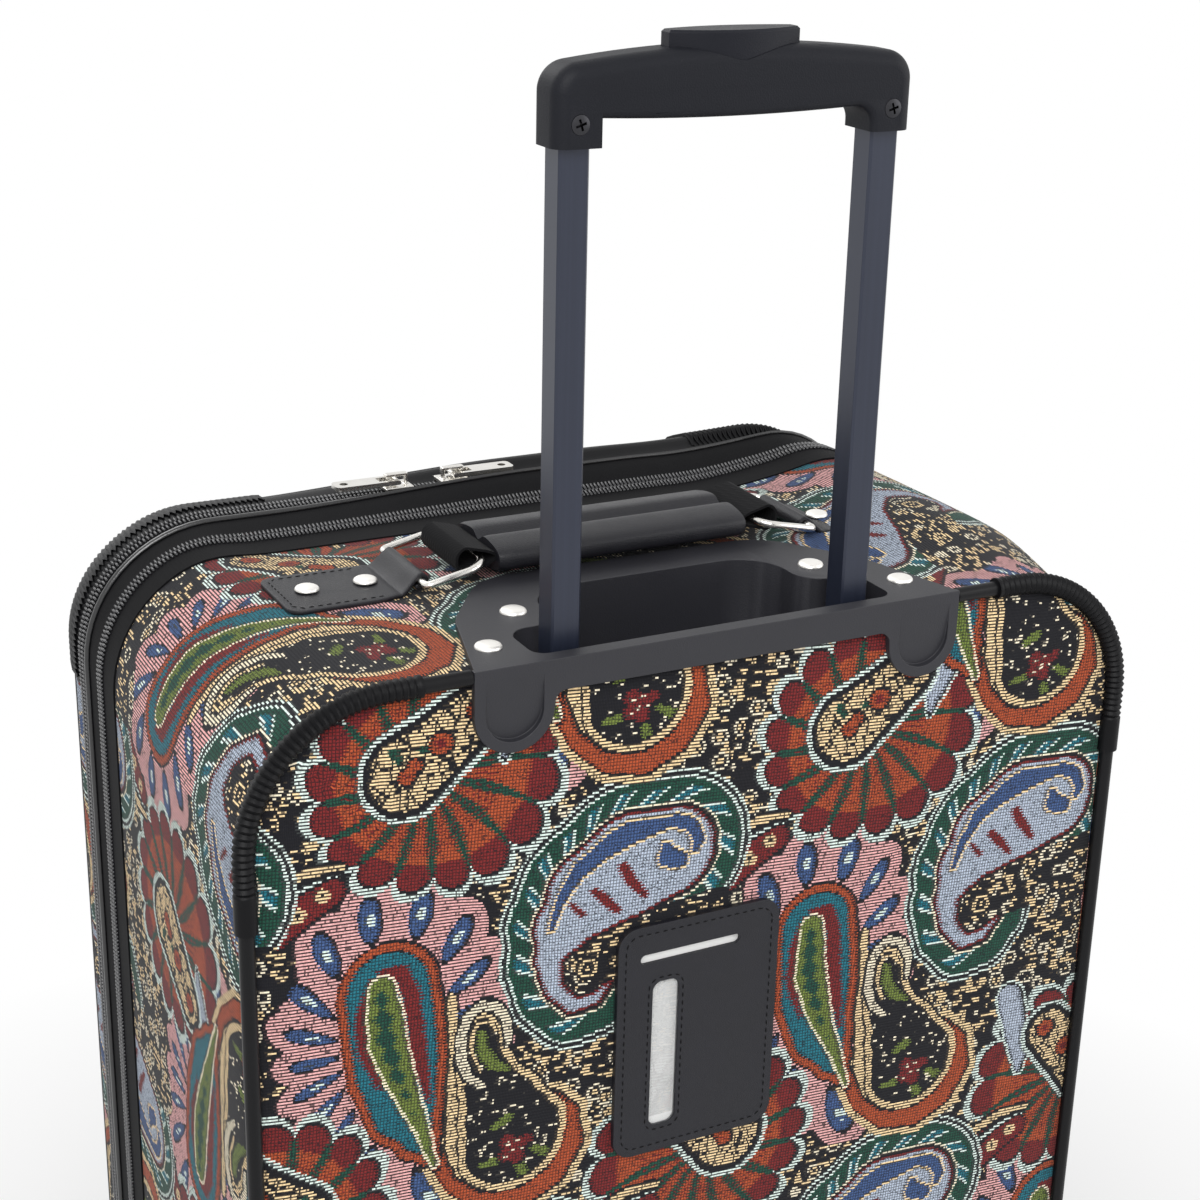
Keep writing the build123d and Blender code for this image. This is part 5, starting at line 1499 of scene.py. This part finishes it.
def even_teeth(length):
    """How many teeth go along a length, and their spacing."""
    count = round(length / trim_settings().tooth_pitch)
    return count, length / count


class SUITCASE_OT_zips(bpy.types.Operator):
    """Lay the zips, their tapes and the lid's cloth hinge"""
    bl_idname = "suitcase.zips"
    bl_label = "Zips"

    def execute(self, context):
        trim = trim_settings()
        around = outline_length()
        count, pitch = even_teeth(around)
        middle = (BAND_LOW.y + BAND_HIGH.y) / 2
        tape = 0.0009
        out = tape + trim.tooth_height / 2 - 0.0003
        inset = trim.tooth_length / 2 - 0.0002
        bm = tape_strip(BAND_LOW.y, BAND_HIGH.y, 0, around, tape)
        self.add_row(bm, tooth_row(count, pitch, 0, out, middle - inset, 0))
        self.add_row(bm, tooth_row(count, pitch, 0, out, middle + inset, pitch / 2))
        self.lay("expander_band", bm, "case", "expander_zip")
        runs = [run for run, _ in outline_runs(cloth_settings().corner_radius)]
        hinge_start = sum(runs[:6])
        hinge_end = sum(runs[:7])
        length = around - runs[6]
        count, pitch = even_teeth(length)
        for name, node, body, facing, shift in (
            ("main_zip_body_side", "main_zip_rear", "case", -1, 0),
            ("main_zip_lid_side", "main_zip_front", "lid", 1, 0.5),
        ):
            low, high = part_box(node)
            edge = high.y if facing < 0 else low.y
            bm = tape_strip(low.y, high.y, hinge_end - around, hinge_start, tape)
            depth = edge + facing * (trim.tooth_length / 2 + 0.0001)
            self.add_row(bm, tooth_row(count, pitch, hinge_end - around, out, depth, shift * pitch))
            self.lay(name, bm, body, node)
        self.pocket_zip(tape, out, inset)
        self.hinge_cloth()
        return {"FINISHED"}

    def add_row(self, bm, mesh):
        first = len(bm.faces)
        take_mesh(bm, mesh)
        bm.faces.ensure_lookup_table()
        for face in bm.faces[first:]:
            face.material_index = 1

    def lay(self, name, bm, body, node):
        wrap_round_case(bm)
        settle(bm)
        finished_piece(name, bm, ["zip_tape", "zip_coil"], body, [node], sharp=50)

    def pocket_zip(self, tape, out, inset):
        low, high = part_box("pocket_zip")
        length = high.x - low.x
        count, pitch = even_teeth(length)
        half = (high.z - low.z) / 2
        bm = tape_strip(-half, half, 0, length, tape)
        self.add_row(bm, tooth_row(count, pitch, pitch / 2, out, -inset, 0))
        self.add_row(bm, tooth_row(count - 1, pitch, pitch / 2, out, inset, pitch / 2))
        middle = (high.z + low.z) / 2
        for vertex in bm.verts:
            outward, up, along = vertex.co
            vertex.co = (low.x + along, low.y + outward, middle + up)
        finished_piece("pocket_zip_chain", bm, ["zip_tape", "zip_coil"], "lid", ["pocket_zip"], sharp=50)

    def hinge_cloth(self):
        """Cloth strip that joins the lid to the body along the hinge side."""
        low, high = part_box("lid_hinge_tape")
        side = high.x + 0.0004
        arch = 0.0016
        width = high.y - low.y + 0.010
        middle = (low.z + high.z) / 2
        length = high.z - low.z
        bm = bmesh.new()
        bmesh.ops.create_grid(bm, x_segments=14, y_segments=60, size=0.5)
        for vertex in bm.verts:
            across = vertex.co.x + 0.5
            out = arch * math.sin(HALF_TURN * across)
            vertex.co = (side + out, low.y + across * width, middle + vertex.co.y * length)
        give_thickness(bm, 0.0008)
        piece = finished_piece("hinge_cloth", bm, ["zip_tape"], None, ["lid_hinge_tape"], sharp=180)
        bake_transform(piece)


def merged_copy(node):
    """A node's mesh with its triangles merged into whole faces."""
    bm = bmesh.new()
    bm.from_mesh(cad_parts[node].data)
    bmesh.ops.remove_doubles(bm, verts=bm.verts, dist=MM / 200)
    bmesh.ops.dissolve_limit(
        bm, angle_limit=math.radians(0.6), use_dissolve_boundaries=False, verts=bm.verts, edges=bm.edges,
        delimit={"NORMAL"},
    )
    return bm


def solid_boxes(node):
    """The lowest and highest corner of each separate solid of a node."""
    bm = bmesh.new()
    bm.from_mesh(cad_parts[node].data)
    bmesh.ops.remove_doubles(bm, verts=bm.verts, dist=MM / 200)
    left = set(bm.verts)
    boxes = []
    while left:
        group = {left.pop()}
        edge = list(group)
        while edge:
            vertex = edge.pop()
            for link in vertex.link_edges:
                other = link.other_vert(vertex)
                if other in left:
                    left.discard(other)
                    group.add(other)
                    edge.append(other)
        places = [vertex.co for vertex in group]
        low = Vector(min(place[axis] for place in places) for axis in range(3))
        high = Vector(max(place[axis] for place in places) for axis in range(3))
        boxes.append((low.copy(), high.copy()))
    bm.free()
    return boxes


def round_edges(piece, width, segments=2, harden=False):
    """Round the hard edges of a piece."""
    bevel = piece.modifiers.new("Rounding", "BEVEL")
    bevel.width = width
    bevel.segments = segments
    bevel.limit_method = "ANGLE"
    bevel.angle_limit = math.radians(30)
    bevel.harden_normals = harden


def moulded_copy(name, node, finish, body, width, segments=2):
    """A node's own form with its hard edges rounded."""
    piece = finished_piece(name, merged_copy(node), [finish], body, [node], sharp=30)
    round_edges(piece, width, segments, harden=True)


def turned_form(profile, segments):
    """Spin an (r, z) profile about Z."""
    bm = bmesh.new()
    verts = [bm.verts.new((radius, 0, height)) for radius, height in profile]
    edges = [bm.edges.new(pair) for pair in zip(verts, verts[1:])]
    bmesh.ops.spin(
        bm, geom=verts + edges, cent=(0, 0, 0), axis=(0, 0, 1), angle=2 * HALF_TURN, steps=segments,
        use_merge=True, use_duplicate=False,
    )
    bmesh.ops.remove_doubles(bm, verts=bm.verts, dist=MM / 100)
    face_outwards(bm)
    return bm


class SUITCASE_OT_trolley_cup(bpy.types.Operator):
    """Mould the trolley cup and set its rivets"""
    bl_idname = "suitcase.trolley_cup"
    bl_label = "Trolley Cup"

    def execute(self, context):
        edge = trim_settings().soft_edge
        moulded_copy("cup_moulding", "trolley_cup", "cup_plastic", "case", edge, 3)
        whole = bmesh.new()
        for low, high in solid_boxes("rivets"):
            radius = (high.x - low.x) / 2
            height = high.z - low.z
            cap = turned_form([
                (0, height), (radius * 0.45, height * 0.97), (radius * 0.75, height * 0.84),
                (radius * 0.92, height * 0.58), (radius, height * 0.2), (radius, 0), (0, 0),
            ], 32)
            move_into(whole, cap, ((low.x + high.x) / 2, (low.y + high.y) / 2, low.z))
        # The rivet caps' finish has a painted highlight in its lighter nickel
        finished_piece("rivet_caps", whole, ["rivet_nickel"], "case", ["rivets"], sharp=50)
        return {"FINISHED"}


class SUITCASE_OT_trolley(bpy.types.Operator):
    """Finish the trolley's tubes, grip, button and screws"""
    bl_idname = "suitcase.trolley"
    bl_label = "Trolley"

    def execute(self, context):
        edge = trim_settings().soft_edge
        for name, node, finish, body, share in (
            ("grip_top", "grip_upper", "moulded_plastic", "trolley", 0.5),
            ("grip_bottom", "grip_lower", "moulded_plastic", "trolley", 0.5),
            ("push_button", "release_button", "button_plastic", "button", 1.0),
            ("sliding_tubes", "inner_tubes", "painted_tube", "trolley", 0.6),
        ):
            moulded_copy(name, node, finish, body, edge * share)
        dress_node("tube_anchor", "moulded_plastic")
        for node in ("outer_tubes", "release_rods", "button_spring", "lock_pin_left", "lock_pin_right"):
            dress_node(node, "bright_steel")
        self.screws()
        return {"FINISHED"}

    def screws(self):
        """Domed screw heads with a cross recess."""
        whole = bmesh.new()
        for low, high in solid_boxes("grip_screws"):
            radius = (high.x - low.x) / 2
            bm = turned_form([
                (0, 0.0006), (radius * 0.6, 0.0005), (radius * 0.95, 0.0001), (radius, -0.0004),
                (radius * 0.45, -0.0018), (radius * 0.45, low.y - high.y), (0, low.y - high.y),
            ], 28)
            head = loose_object(bm, "head")
            slots = []
            for turn in (0.3, 0.3 + QUARTER_TURN):
                cut = bmesh.new()
                bmesh.ops.create_cube(cut, size=1)
                bmesh.ops.scale(cut, vec=(radius * 1.15, radius * 0.24, 0.003), verts=cut.verts)
                bmesh.ops.rotate(cut, cent=(0, 0, 0), matrix=Matrix.Rotation(turn, 3, "Z"), verts=cut.verts)
                slot = loose_object(cut, "slot")
                modifier = head.modifiers.new("Cross", "BOOLEAN")
                modifier.operation = "DIFFERENCE"
                modifier.object = slot
                slots.append(slot)
            mesh = evaluated_mesh(head)
            for slot in slots:
                bpy.data.objects.remove(slot)
            place = Vector(((low.x + high.x) / 2, low.y, (low.z + high.z) / 2))
            mesh.transform(Matrix.Translation(place) @ Matrix.Rotation(QUARTER_TURN, 4, "X"))
            take_mesh(whole, mesh)
        finished_piece("cross_screws", whole, ["black_steel"], "trolley", ["grip_screws"], sharp=30)


def sew(whole, path, normal, closed=False):
    """Lay stitches along a path of points on a flat surface."""
    trim = trim_settings()
    bm = bmesh.new()
    bmesh.ops.create_icosphere(bm, subdivisions=1, radius=1)
    bmesh.ops.scale(bm, vec=(trim.stitch / 2, trim.thread_radius, trim.thread_radius), verts=bm.verts)
    points = [Vector(point) for point in path]
    if closed:
        points.append(points[0])
    spacing = trim.stitch + trim.stitch_gap
    left = spacing / 2
    up = Vector(normal).normalized()
    for start, end in zip(points, points[1:]):
        run = end - start
        heading = run.normalized()
        side = up.cross(heading)
        while left < run.length:
            turn = Matrix((heading, side, up)).transposed().to_4x4()
            add_copy(whole, bm, Matrix.Translation(start + heading * left) @ turn)
            left += spacing
        left -= run.length
    bm.free()


def stitched(name, seams, body):
    """Finish rows of stitches on the material that they hold."""
    finished_piece(name, seams, ["sewing_thread"], body, sharp=180)


def rounded_path(half_width, half_height, radius, steps=6, far=None):
    """Points round a rectangle with round corners about the origin; the far end may have its own radius."""
    points = []
    for index, (sx, sy) in enumerate(((1, 1), (-1, 1), (-1, -1), (1, -1))):
        bend = far if far and sx < 0 else radius
        for step in range(steps + 1):
            turn = QUARTER_TURN * (index + step / steps)
            points.append((
                sx * (half_width - bend) + bend * math.cos(turn),
                sy * (half_height - bend) + bend * math.sin(turn),
            ))
    return points


class SUITCASE_OT_carry_handle(bpy.types.Operator):
    """Make the carry handle: tabs, rings, webbing and leather wrap"""
    bl_idname = "suitcase.carry_handle"
    bl_label = "Carry Handle"

    def execute(self, context):
        for side in SIDES:
            self.tab(side)
            self.ring(side)
        self.wrap()
        self.webbing()
        return {"FINISHED"}

    def tab(self, side):
        """Riveted tongue that narrows and rolls round the ring's bar, with a stitched border."""
        hand = -1 if side == "left" else 1
        low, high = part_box("handle_tab_" + side)
        end = max(abs(low.x), abs(high.x))
        depth = (low.y + high.y) / 2
        half = (high.y - low.y) / 2
        thickness = 0.0017
        roll_x = min(abs(low.x), abs(high.x)) + 0.0048
        roll_z = high.z - 0.0048
        radius = 0.0036
        flat_length = 0.047
        flat_end = end - flat_length
        rise = Vector((roll_x - flat_end, roll_z + radius - TOP - thickness))
        rise_length = rise.length
        total = flat_length + rise_length + radius * HALF_TURN * 1.25

        def upper_face(along):
            """x and z of the tab's upper face at a length from its outer end."""
            if along < flat_length:
                lift = smooth_share(along, flat_length * 0.8, flat_length) * 0.0004
                return end - along, TOP + thickness + lift
            along -= flat_length
            if along < rise_length:
                share = along / rise_length
                ease = (smooth_share(share, 0.0, 1.0) + share) / 2
                return flat_end + rise.x * share, TOP + thickness + rise.y * ease
            turn = (along - rise_length) / radius
            return roll_x - radius * math.sin(turn), roll_z + radius * math.cos(turn)

        corner = 0.006
        bm = bmesh.new()
        bmesh.ops.create_grid(bm, x_segments=48, y_segments=16, size=0.5)
        for vertex in bm.verts:
            along = (vertex.co.x + 0.5) * total
            across = vertex.co.y * 2 * half
            over_x = corner - along
            over_y = abs(across) - half + corner
            if over_x > 0 and over_y > 0:
                over = Vector((over_x, over_y))
                over *= max(over) / over.length
                along = corner - over.x
                across = math.copysign(half - corner + over.y, across)
            narrow = 1 - 0.16 * smooth_share(along, flat_length * 0.72, flat_length + rise_length)
            x, z = upper_face(along)
            vertex.co = (hand * x, depth + across * narrow, z)
        face_outwards(bm)
        if sum(face.normal.z * face.calc_area() for face in bm.faces) < 0:
            bmesh.ops.reverse_faces(bm, faces=bm.faces)
        piece = finished_piece(
            "leather_tab_" + side, bm, ["handle_leather"], "case", ["handle_tab_" + side], sharp=60,
        )
        thicken(piece, thickness)
        round_edges(piece, 0.0004)
        seams = bmesh.new()
        inset = 0.0032
        snip = 0.003
        near = flat_end + 0.006
        far = end - inset
        rear = depth - half + inset
        front = depth + half - inset
        line = (
            (near, rear), (far - snip, rear), (far, rear + snip), (far, front - snip), (far - snip, front),
            (near, front),
        )
        sew(seams, [(hand * x, y, TOP + thickness) for x, y in line], (0, 0, 1))
        stitched("tab_stitches_" + side, seams, "case")

    def ring(self, side):
        """Round-wire ring, its straight bar in the tab's roll."""
        hand = -1 if side == "left" else 1
        low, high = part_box("d_ring_" + side)
        wire = 0.0017
        tilt = math.radians(12)
        depth = (low.y + high.y) / 2
        half_width = (high.y - low.y) / 2 - wire
        length = 0.031 - 2 * wire
        corner = wire * (math.cos(tilt) + math.sin(tilt))
        bar_x = max(abs(low.x), abs(high.x)) - corner
        bar_z = low.z + corner
        curve = bpy.data.curves.new("ring", "CURVE")
        curve.dimensions = "3D"
        curve.bevel_depth = wire
        curve.bevel_resolution = 5
        spline = curve.splines.new("POLY")
        points = [
            (reach - length / 2, across)
            for reach, across in rounded_path(length / 2, half_width, 0.0022, 8, far=0.0103)
        ]
        spline.points.add(len(points) - 1)
        spline.use_cyclic_u = True
        for point, (reach, across) in zip(spline.points, points):
            x = bar_x + reach * math.cos(tilt)
            z = bar_z - reach * math.sin(tilt)
            point.co = (hand * x, depth + across, z, 1)
        bm = bmesh.new()
        take_mesh(bm, evaluated_mesh(placed("ring", curve)))
        face_outwards(bm)
        finished_piece("wire_ring_" + side, bm, ["nickel"], "ring_" + side, ["d_ring_" + side], sharp=60)

    def wrap(self):
        """Leather sleeve: two rolls with a sewn groove between them."""
        low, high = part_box("carry_handle_wrap")
        half = (high - low) / 2
        centre = (high + low) / 2
        ends = [0.0, 0.002, 0.02]
        between = [tenth / 10 for tenth in range(1, 10)]
        bm = tube(1, 56, [*ends, *between, *(1 - share for share in reversed(ends))])
        for vertex in bm.verts:
            turn = math.atan2(vertex.co.y, vertex.co.x)
            share = vertex.co.z
            across = math.cos(turn)
            pinch = 0.52 * math.exp(-((across / 0.16) ** 2))
            lobe = math.copysign(abs(math.sin(turn)) ** 0.62, math.sin(turn))
            close = 1 - 0.05 * (1 - smooth_share(min(share, 1 - share), 0.0, 0.02))
            vertex.co = (
                low.x + share * 2 * half.x,
                centre.y + across * half.y * close,
                centre.z + lobe * half.z * (1 - pinch) * close,
            )
        bmesh.ops.holes_fill(bm, edges=open_edges(bm), sides=0)
        face_outwards(bm)
        piece = finished_piece(
            "leather_wrap", bm, ["handle_leather"], "carry_handle", ["carry_handle_wrap"], sharp=50,
        )
        seams = bmesh.new()
        height = centre.z + half.z * 0.50
        sew(seams, [(low.x + 0.003, centre.y, height), (high.x - 0.003, centre.y, height)], (0, 0, 1))
        stitched("wrap_stitches", seams, "carry_handle")

    def webbing(self):
        """Black strap folded back round each ring."""
        low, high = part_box("carry_handle_webbing")
        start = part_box("carry_handle_wrap")[1].x - 0.002
        depth = (low.y + high.y) / 2
        half = (high.y - low.y) / 2
        thickness = 0.0022
        whole = bmesh.new()
        length = high.x - start
        height = (high.z - low.z) / 2 - thickness / 2
        closed = 0.42
        path = []
        for x, z in rounded_path(length / 2 - thickness / 2, height, 0.0055, 8):
            spread = closed + (1 - closed) * smooth_share(x, -length / 2, length * 0.3)
            path.append((start + length / 2 + x, (high.z + low.z) / 2 + z * spread))
        last = len(path) - 1
        for hand in (-1, 1):
            bm = bmesh.new()
            bmesh.ops.create_grid(bm, x_segments=last, y_segments=10, size=0.5)
            for vertex in bm.verts:
                x, z = path[round((vertex.co.x + 0.5) * last)]
                vertex.co = (hand * x, depth + vertex.co.y * 2 * half, z)
            bmesh.ops.remove_doubles(bm, verts=bm.verts, dist=MM / 100)
            ends = [edge for edge in open_edges(bm) if abs(edge.verts[0].co.y - edge.verts[1].co.y) > MM]
            if len(ends) >= 2:
                bmesh.ops.bridge_loops(bm, edges=ends)
            give_thickness(bm, thickness / 2)
            move_into(whole, bm)
        node = "carry_handle_webbing"
        finished_piece("webbing_loops", whole, ["webbing"], "carry_handle", [node], sharp=50)


class SUITCASE_OT_id_tag(bpy.types.Operator):
    """Sew on the identity tag with its window and card"""
    bl_idname = "suitcase.id_tag"
    bl_label = "Identity Tag"

    def execute(self, context):
        moulded_copy("tag_patch", "id_tag_panel", "tag_vinyl", "case", 0.0005, 2)
        dress_node("id_tag_window", "clear_pane")
        dress_node("id_card", "card")
        low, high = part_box("id_tag_panel")
        pane_low, pane_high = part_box("id_tag_window")
        seams = bmesh.new()
        inset = 0.0036
        for box_low, box_high, grow, radius in (
            (low, high, -inset, 0.006), (pane_low, pane_high, 0.0019, 0.005),
        ):
            centre = (box_low + box_high) / 2
            half = (box_high - box_low) / 2
            path = [
                (centre.x + x, low.y, centre.z + z)
                for x, z in rounded_path(half.x + grow, half.z + grow, radius)
            ]
            sew(seams, path, (0, -1, 0), closed=True)
        stitched("tag_stitches", seams, "case")
        return {"FINISHED"}


class SUITCASE_OT_sliders(bpy.types.Operator):
    """Polish the zip sliders and their pulls"""
    bl_idname = "suitcase.sliders"
    bl_label = "Zip Sliders"

    def execute(self, context):
        for zip_name in ("main_{}_left", "main_{}_right", "expander_{}", "pocket_{}"):
            for part in ("slider", "pull"):
                node = zip_name.format(part)
                moulded_copy(node + "_plated", node, "nickel", node, 0.0006)
        return {"FINISHED"}


class SUITCASE_OT_casters(bpy.types.Operator):
    """Make the four spinner casters"""
    bl_idname = "suitcase.casters"
    bl_label = "Casters"

    def execute(self, context):
        edge = trim_settings().soft_edge
        for corner in CORNERS:
            housing = "caster_housing_" + corner
            fork = "caster_fork_" + corner
            moulded_copy("foot_" + corner, housing, "moulded_plastic", "case", edge * 1.6, 3)
            moulded_copy("fork_" + corner, fork, "caster_plastic", "caster_" + corner, edge)
            dress_node("caster_axle_" + corner, "bright_steel")
            self.wheel(corner)
        return {"FINISHED"}

    def wheel(self, corner):
        """Wheel with a round-shouldered tread, a stepped rim and a dished web."""
        node = "caster_wheel_" + corner
        low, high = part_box(node)
        radius = (high.z - low.z) / 2
        half = (high.x - low.x) / 2
        bore = 0.00305
        side = [
            (bore, half * 0.98), (radius * 0.26, half * 0.98), (radius * 0.30, half * 0.90),
            (radius * 0.33, half * 0.70), (radius * 0.66, half * 0.66), (radius * 0.72, half * 0.82),
            (radius * 0.76, half), (radius * 0.86, half), (radius * 0.93, half * 0.94),
            (radius * 0.98, half * 0.78), (radius, half * 0.5),
        ]
        groove = [(radius, half * 0.10), (radius * 0.985, 0.0)]
        profile = side + groove + [(r, -x) for r, x in reversed(side + groove[:1])]
        bm = turned_form(profile + [profile[0]], 72)
        place = Matrix.Translation((low + high) / 2) @ Matrix.Rotation(QUARTER_TURN, 4, "Y")
        bmesh.ops.transform(bm, matrix=place, verts=bm.verts)
        face_outwards(bm)
        finished_piece("tyre_" + corner, bm, ["wheel_rubber"], "wheel_" + corner, [node], sharp=28)


class SUITCASE_OT_stage(bpy.types.Operator):
    """Set up the floor, the lights and the camera"""
    bl_idname = "suitcase.stage"
    bl_label = "Stage"

    def execute(self, context):
        self.floor()
        self.world()
        self.lamps()
        self.camera()
        context.scene.view_settings.view_transform = "Standard"
        return {"FINISHED"}

    def floor(self):
        """Pale floor that keeps the shadow near the case and turns to plain white further off."""
        stage = stage_settings()
        bm = bmesh.new()
        bmesh.ops.create_circle(bm, cap_ends=True, segments=64, radius=9)
        f = Finish("studio_floor")
        f.colour(stage.floor)
        f.surface(Roughness=0.9, Specular_IOR_Level=0.1)
        far = f.within(f.vector("LENGTH", f.object_place()), 0.42, 0.85)
        share = f.math("MULTIPLY", far, f.seen_directly())
        f.blend_shaders(share, f.shader, f.node("ShaderNodeEmission"), "Material Output")
        mesh = mesh_of(bm, "floor")
        mesh.materials.append(f.material)
        placed("floor", mesh)

    def world(self):
        """Even light, with plain white where the background is seen."""
        world = bpy.data.worlds.new("studio")
        world.use_nodes = True
        bpy.context.scene.world = world
        f = Nodes(world.node_tree)
        even = f.tree.nodes["Background"]
        even.inputs["Color"].default_value = (1, 1, 1, 1)
        even.inputs["Strength"].default_value = stage_settings().ambient
        white = f.node("ShaderNodeBackground")
        white.inputs["Color"].default_value = (1, 1, 1, 1)
        f.blend_shaders(f.seen_directly(), even, white, "World Output")

    def lamps(self):
        stage = stage_settings()
        aim = Vector((0, -0.05, 0.62))
        for name, place, size, power in (
            ("key_lamp", (-0.9, -1.5, 2.0), 1.3, stage.key),
            ("fill_lamp", (1.6, -1.0, 1.2), 1.4, stage.fill),
            ("rim_lamp", (-0.5, 1.4, 1.9), 1.2, stage.fill),
        ):
            lamp = bpy.data.lights.new(name, "AREA")
            lamp.energy = power
            lamp.size = size
            made = placed(name, lamp)
            made.location = place
            made.rotation_euler = (aim - Vector(place)).to_track_quat("-Z", "Y").to_euler()

    def camera(self):
        stage = stage_settings()
        lens = bpy.data.cameras.new("camera")
        lens.lens = stage.lens
        lens.sensor_width = 36
        lens.sensor_fit = "HORIZONTAL"
        lens.clip_start = 0.01
        lens.clip_end = 50
        camera = placed("camera", lens)
        a = stage.azimuth
        e = stage.elevation
        back = Vector((math.sin(a) * math.cos(e), -math.cos(a) * math.cos(e), math.sin(e)))
        right = (-back).cross(Vector((0, 0, 1))).normalized()
        up = right.cross(-back)
        across = right * math.cos(stage.roll) + up * math.sin(stage.roll)
        upward = up * math.cos(stage.roll) - right * math.sin(stage.roll)
        turn = Matrix((across, upward, back)).transposed().to_4x4()
        camera.matrix_world = Matrix.Translation(Vector(stage.place)) @ turn
        bpy.context.scene.camera = camera


class SUITCASE_PT_panel(bpy.types.Panel):
    """Lists the parts of the suitcase and their sizes"""
    bl_idname = "SUITCASE_PT_panel"
    bl_label = "Suitcase"
    bl_space_type = "VIEW_3D"
    bl_region_type = "UI"
    bl_category = "Suitcase"

    def draw(self, context):
        for operator in OPERATORS:
            self.layout.operator(operator.bl_idname)
        for settings in (cloth_settings(), trim_settings(), stage_settings()):
            box = self.layout.box()
            for name in settings.__annotations__:
                box.prop(settings, name)


OPERATORS = (
    SUITCASE_OT_case_cloth,
    SUITCASE_OT_lid_cloth,
    SUITCASE_OT_edging,
    SUITCASE_OT_zips,
    SUITCASE_OT_trolley_cup,
    SUITCASE_OT_trolley,
    SUITCASE_OT_carry_handle,
    SUITCASE_OT_id_tag,
    SUITCASE_OT_sliders,
    SUITCASE_OT_casters,
    SUITCASE_OT_stage,
)
GROUPS = {
    "suitcase_cloth": SuitcaseCloth,
    "suitcase_trim": SuitcaseTrim,
    "suitcase_stage": SuitcaseStage,
}


def register():
    for name, group in GROUPS.items():
        bpy.utils.register_class(group)
        setattr(bpy.types.Scene, name, PointerProperty(type=group))
    for item in (*OPERATORS, SUITCASE_PT_panel):
        bpy.utils.register_class(item)


def unregister():
    for item in reversed((*OPERATORS, SUITCASE_PT_panel)):
        bpy.utils.unregister_class(item)
    for name, group in GROUPS.items():
        delattr(bpy.types.Scene, name)
        bpy.utils.unregister_class(group)


def main():
    register()
    for operator in OPERATORS:
        group, name = operator.bl_idname.split(".")
        getattr(getattr(bpy.ops, group), name)()


if __name__ == "__main__":
    main()
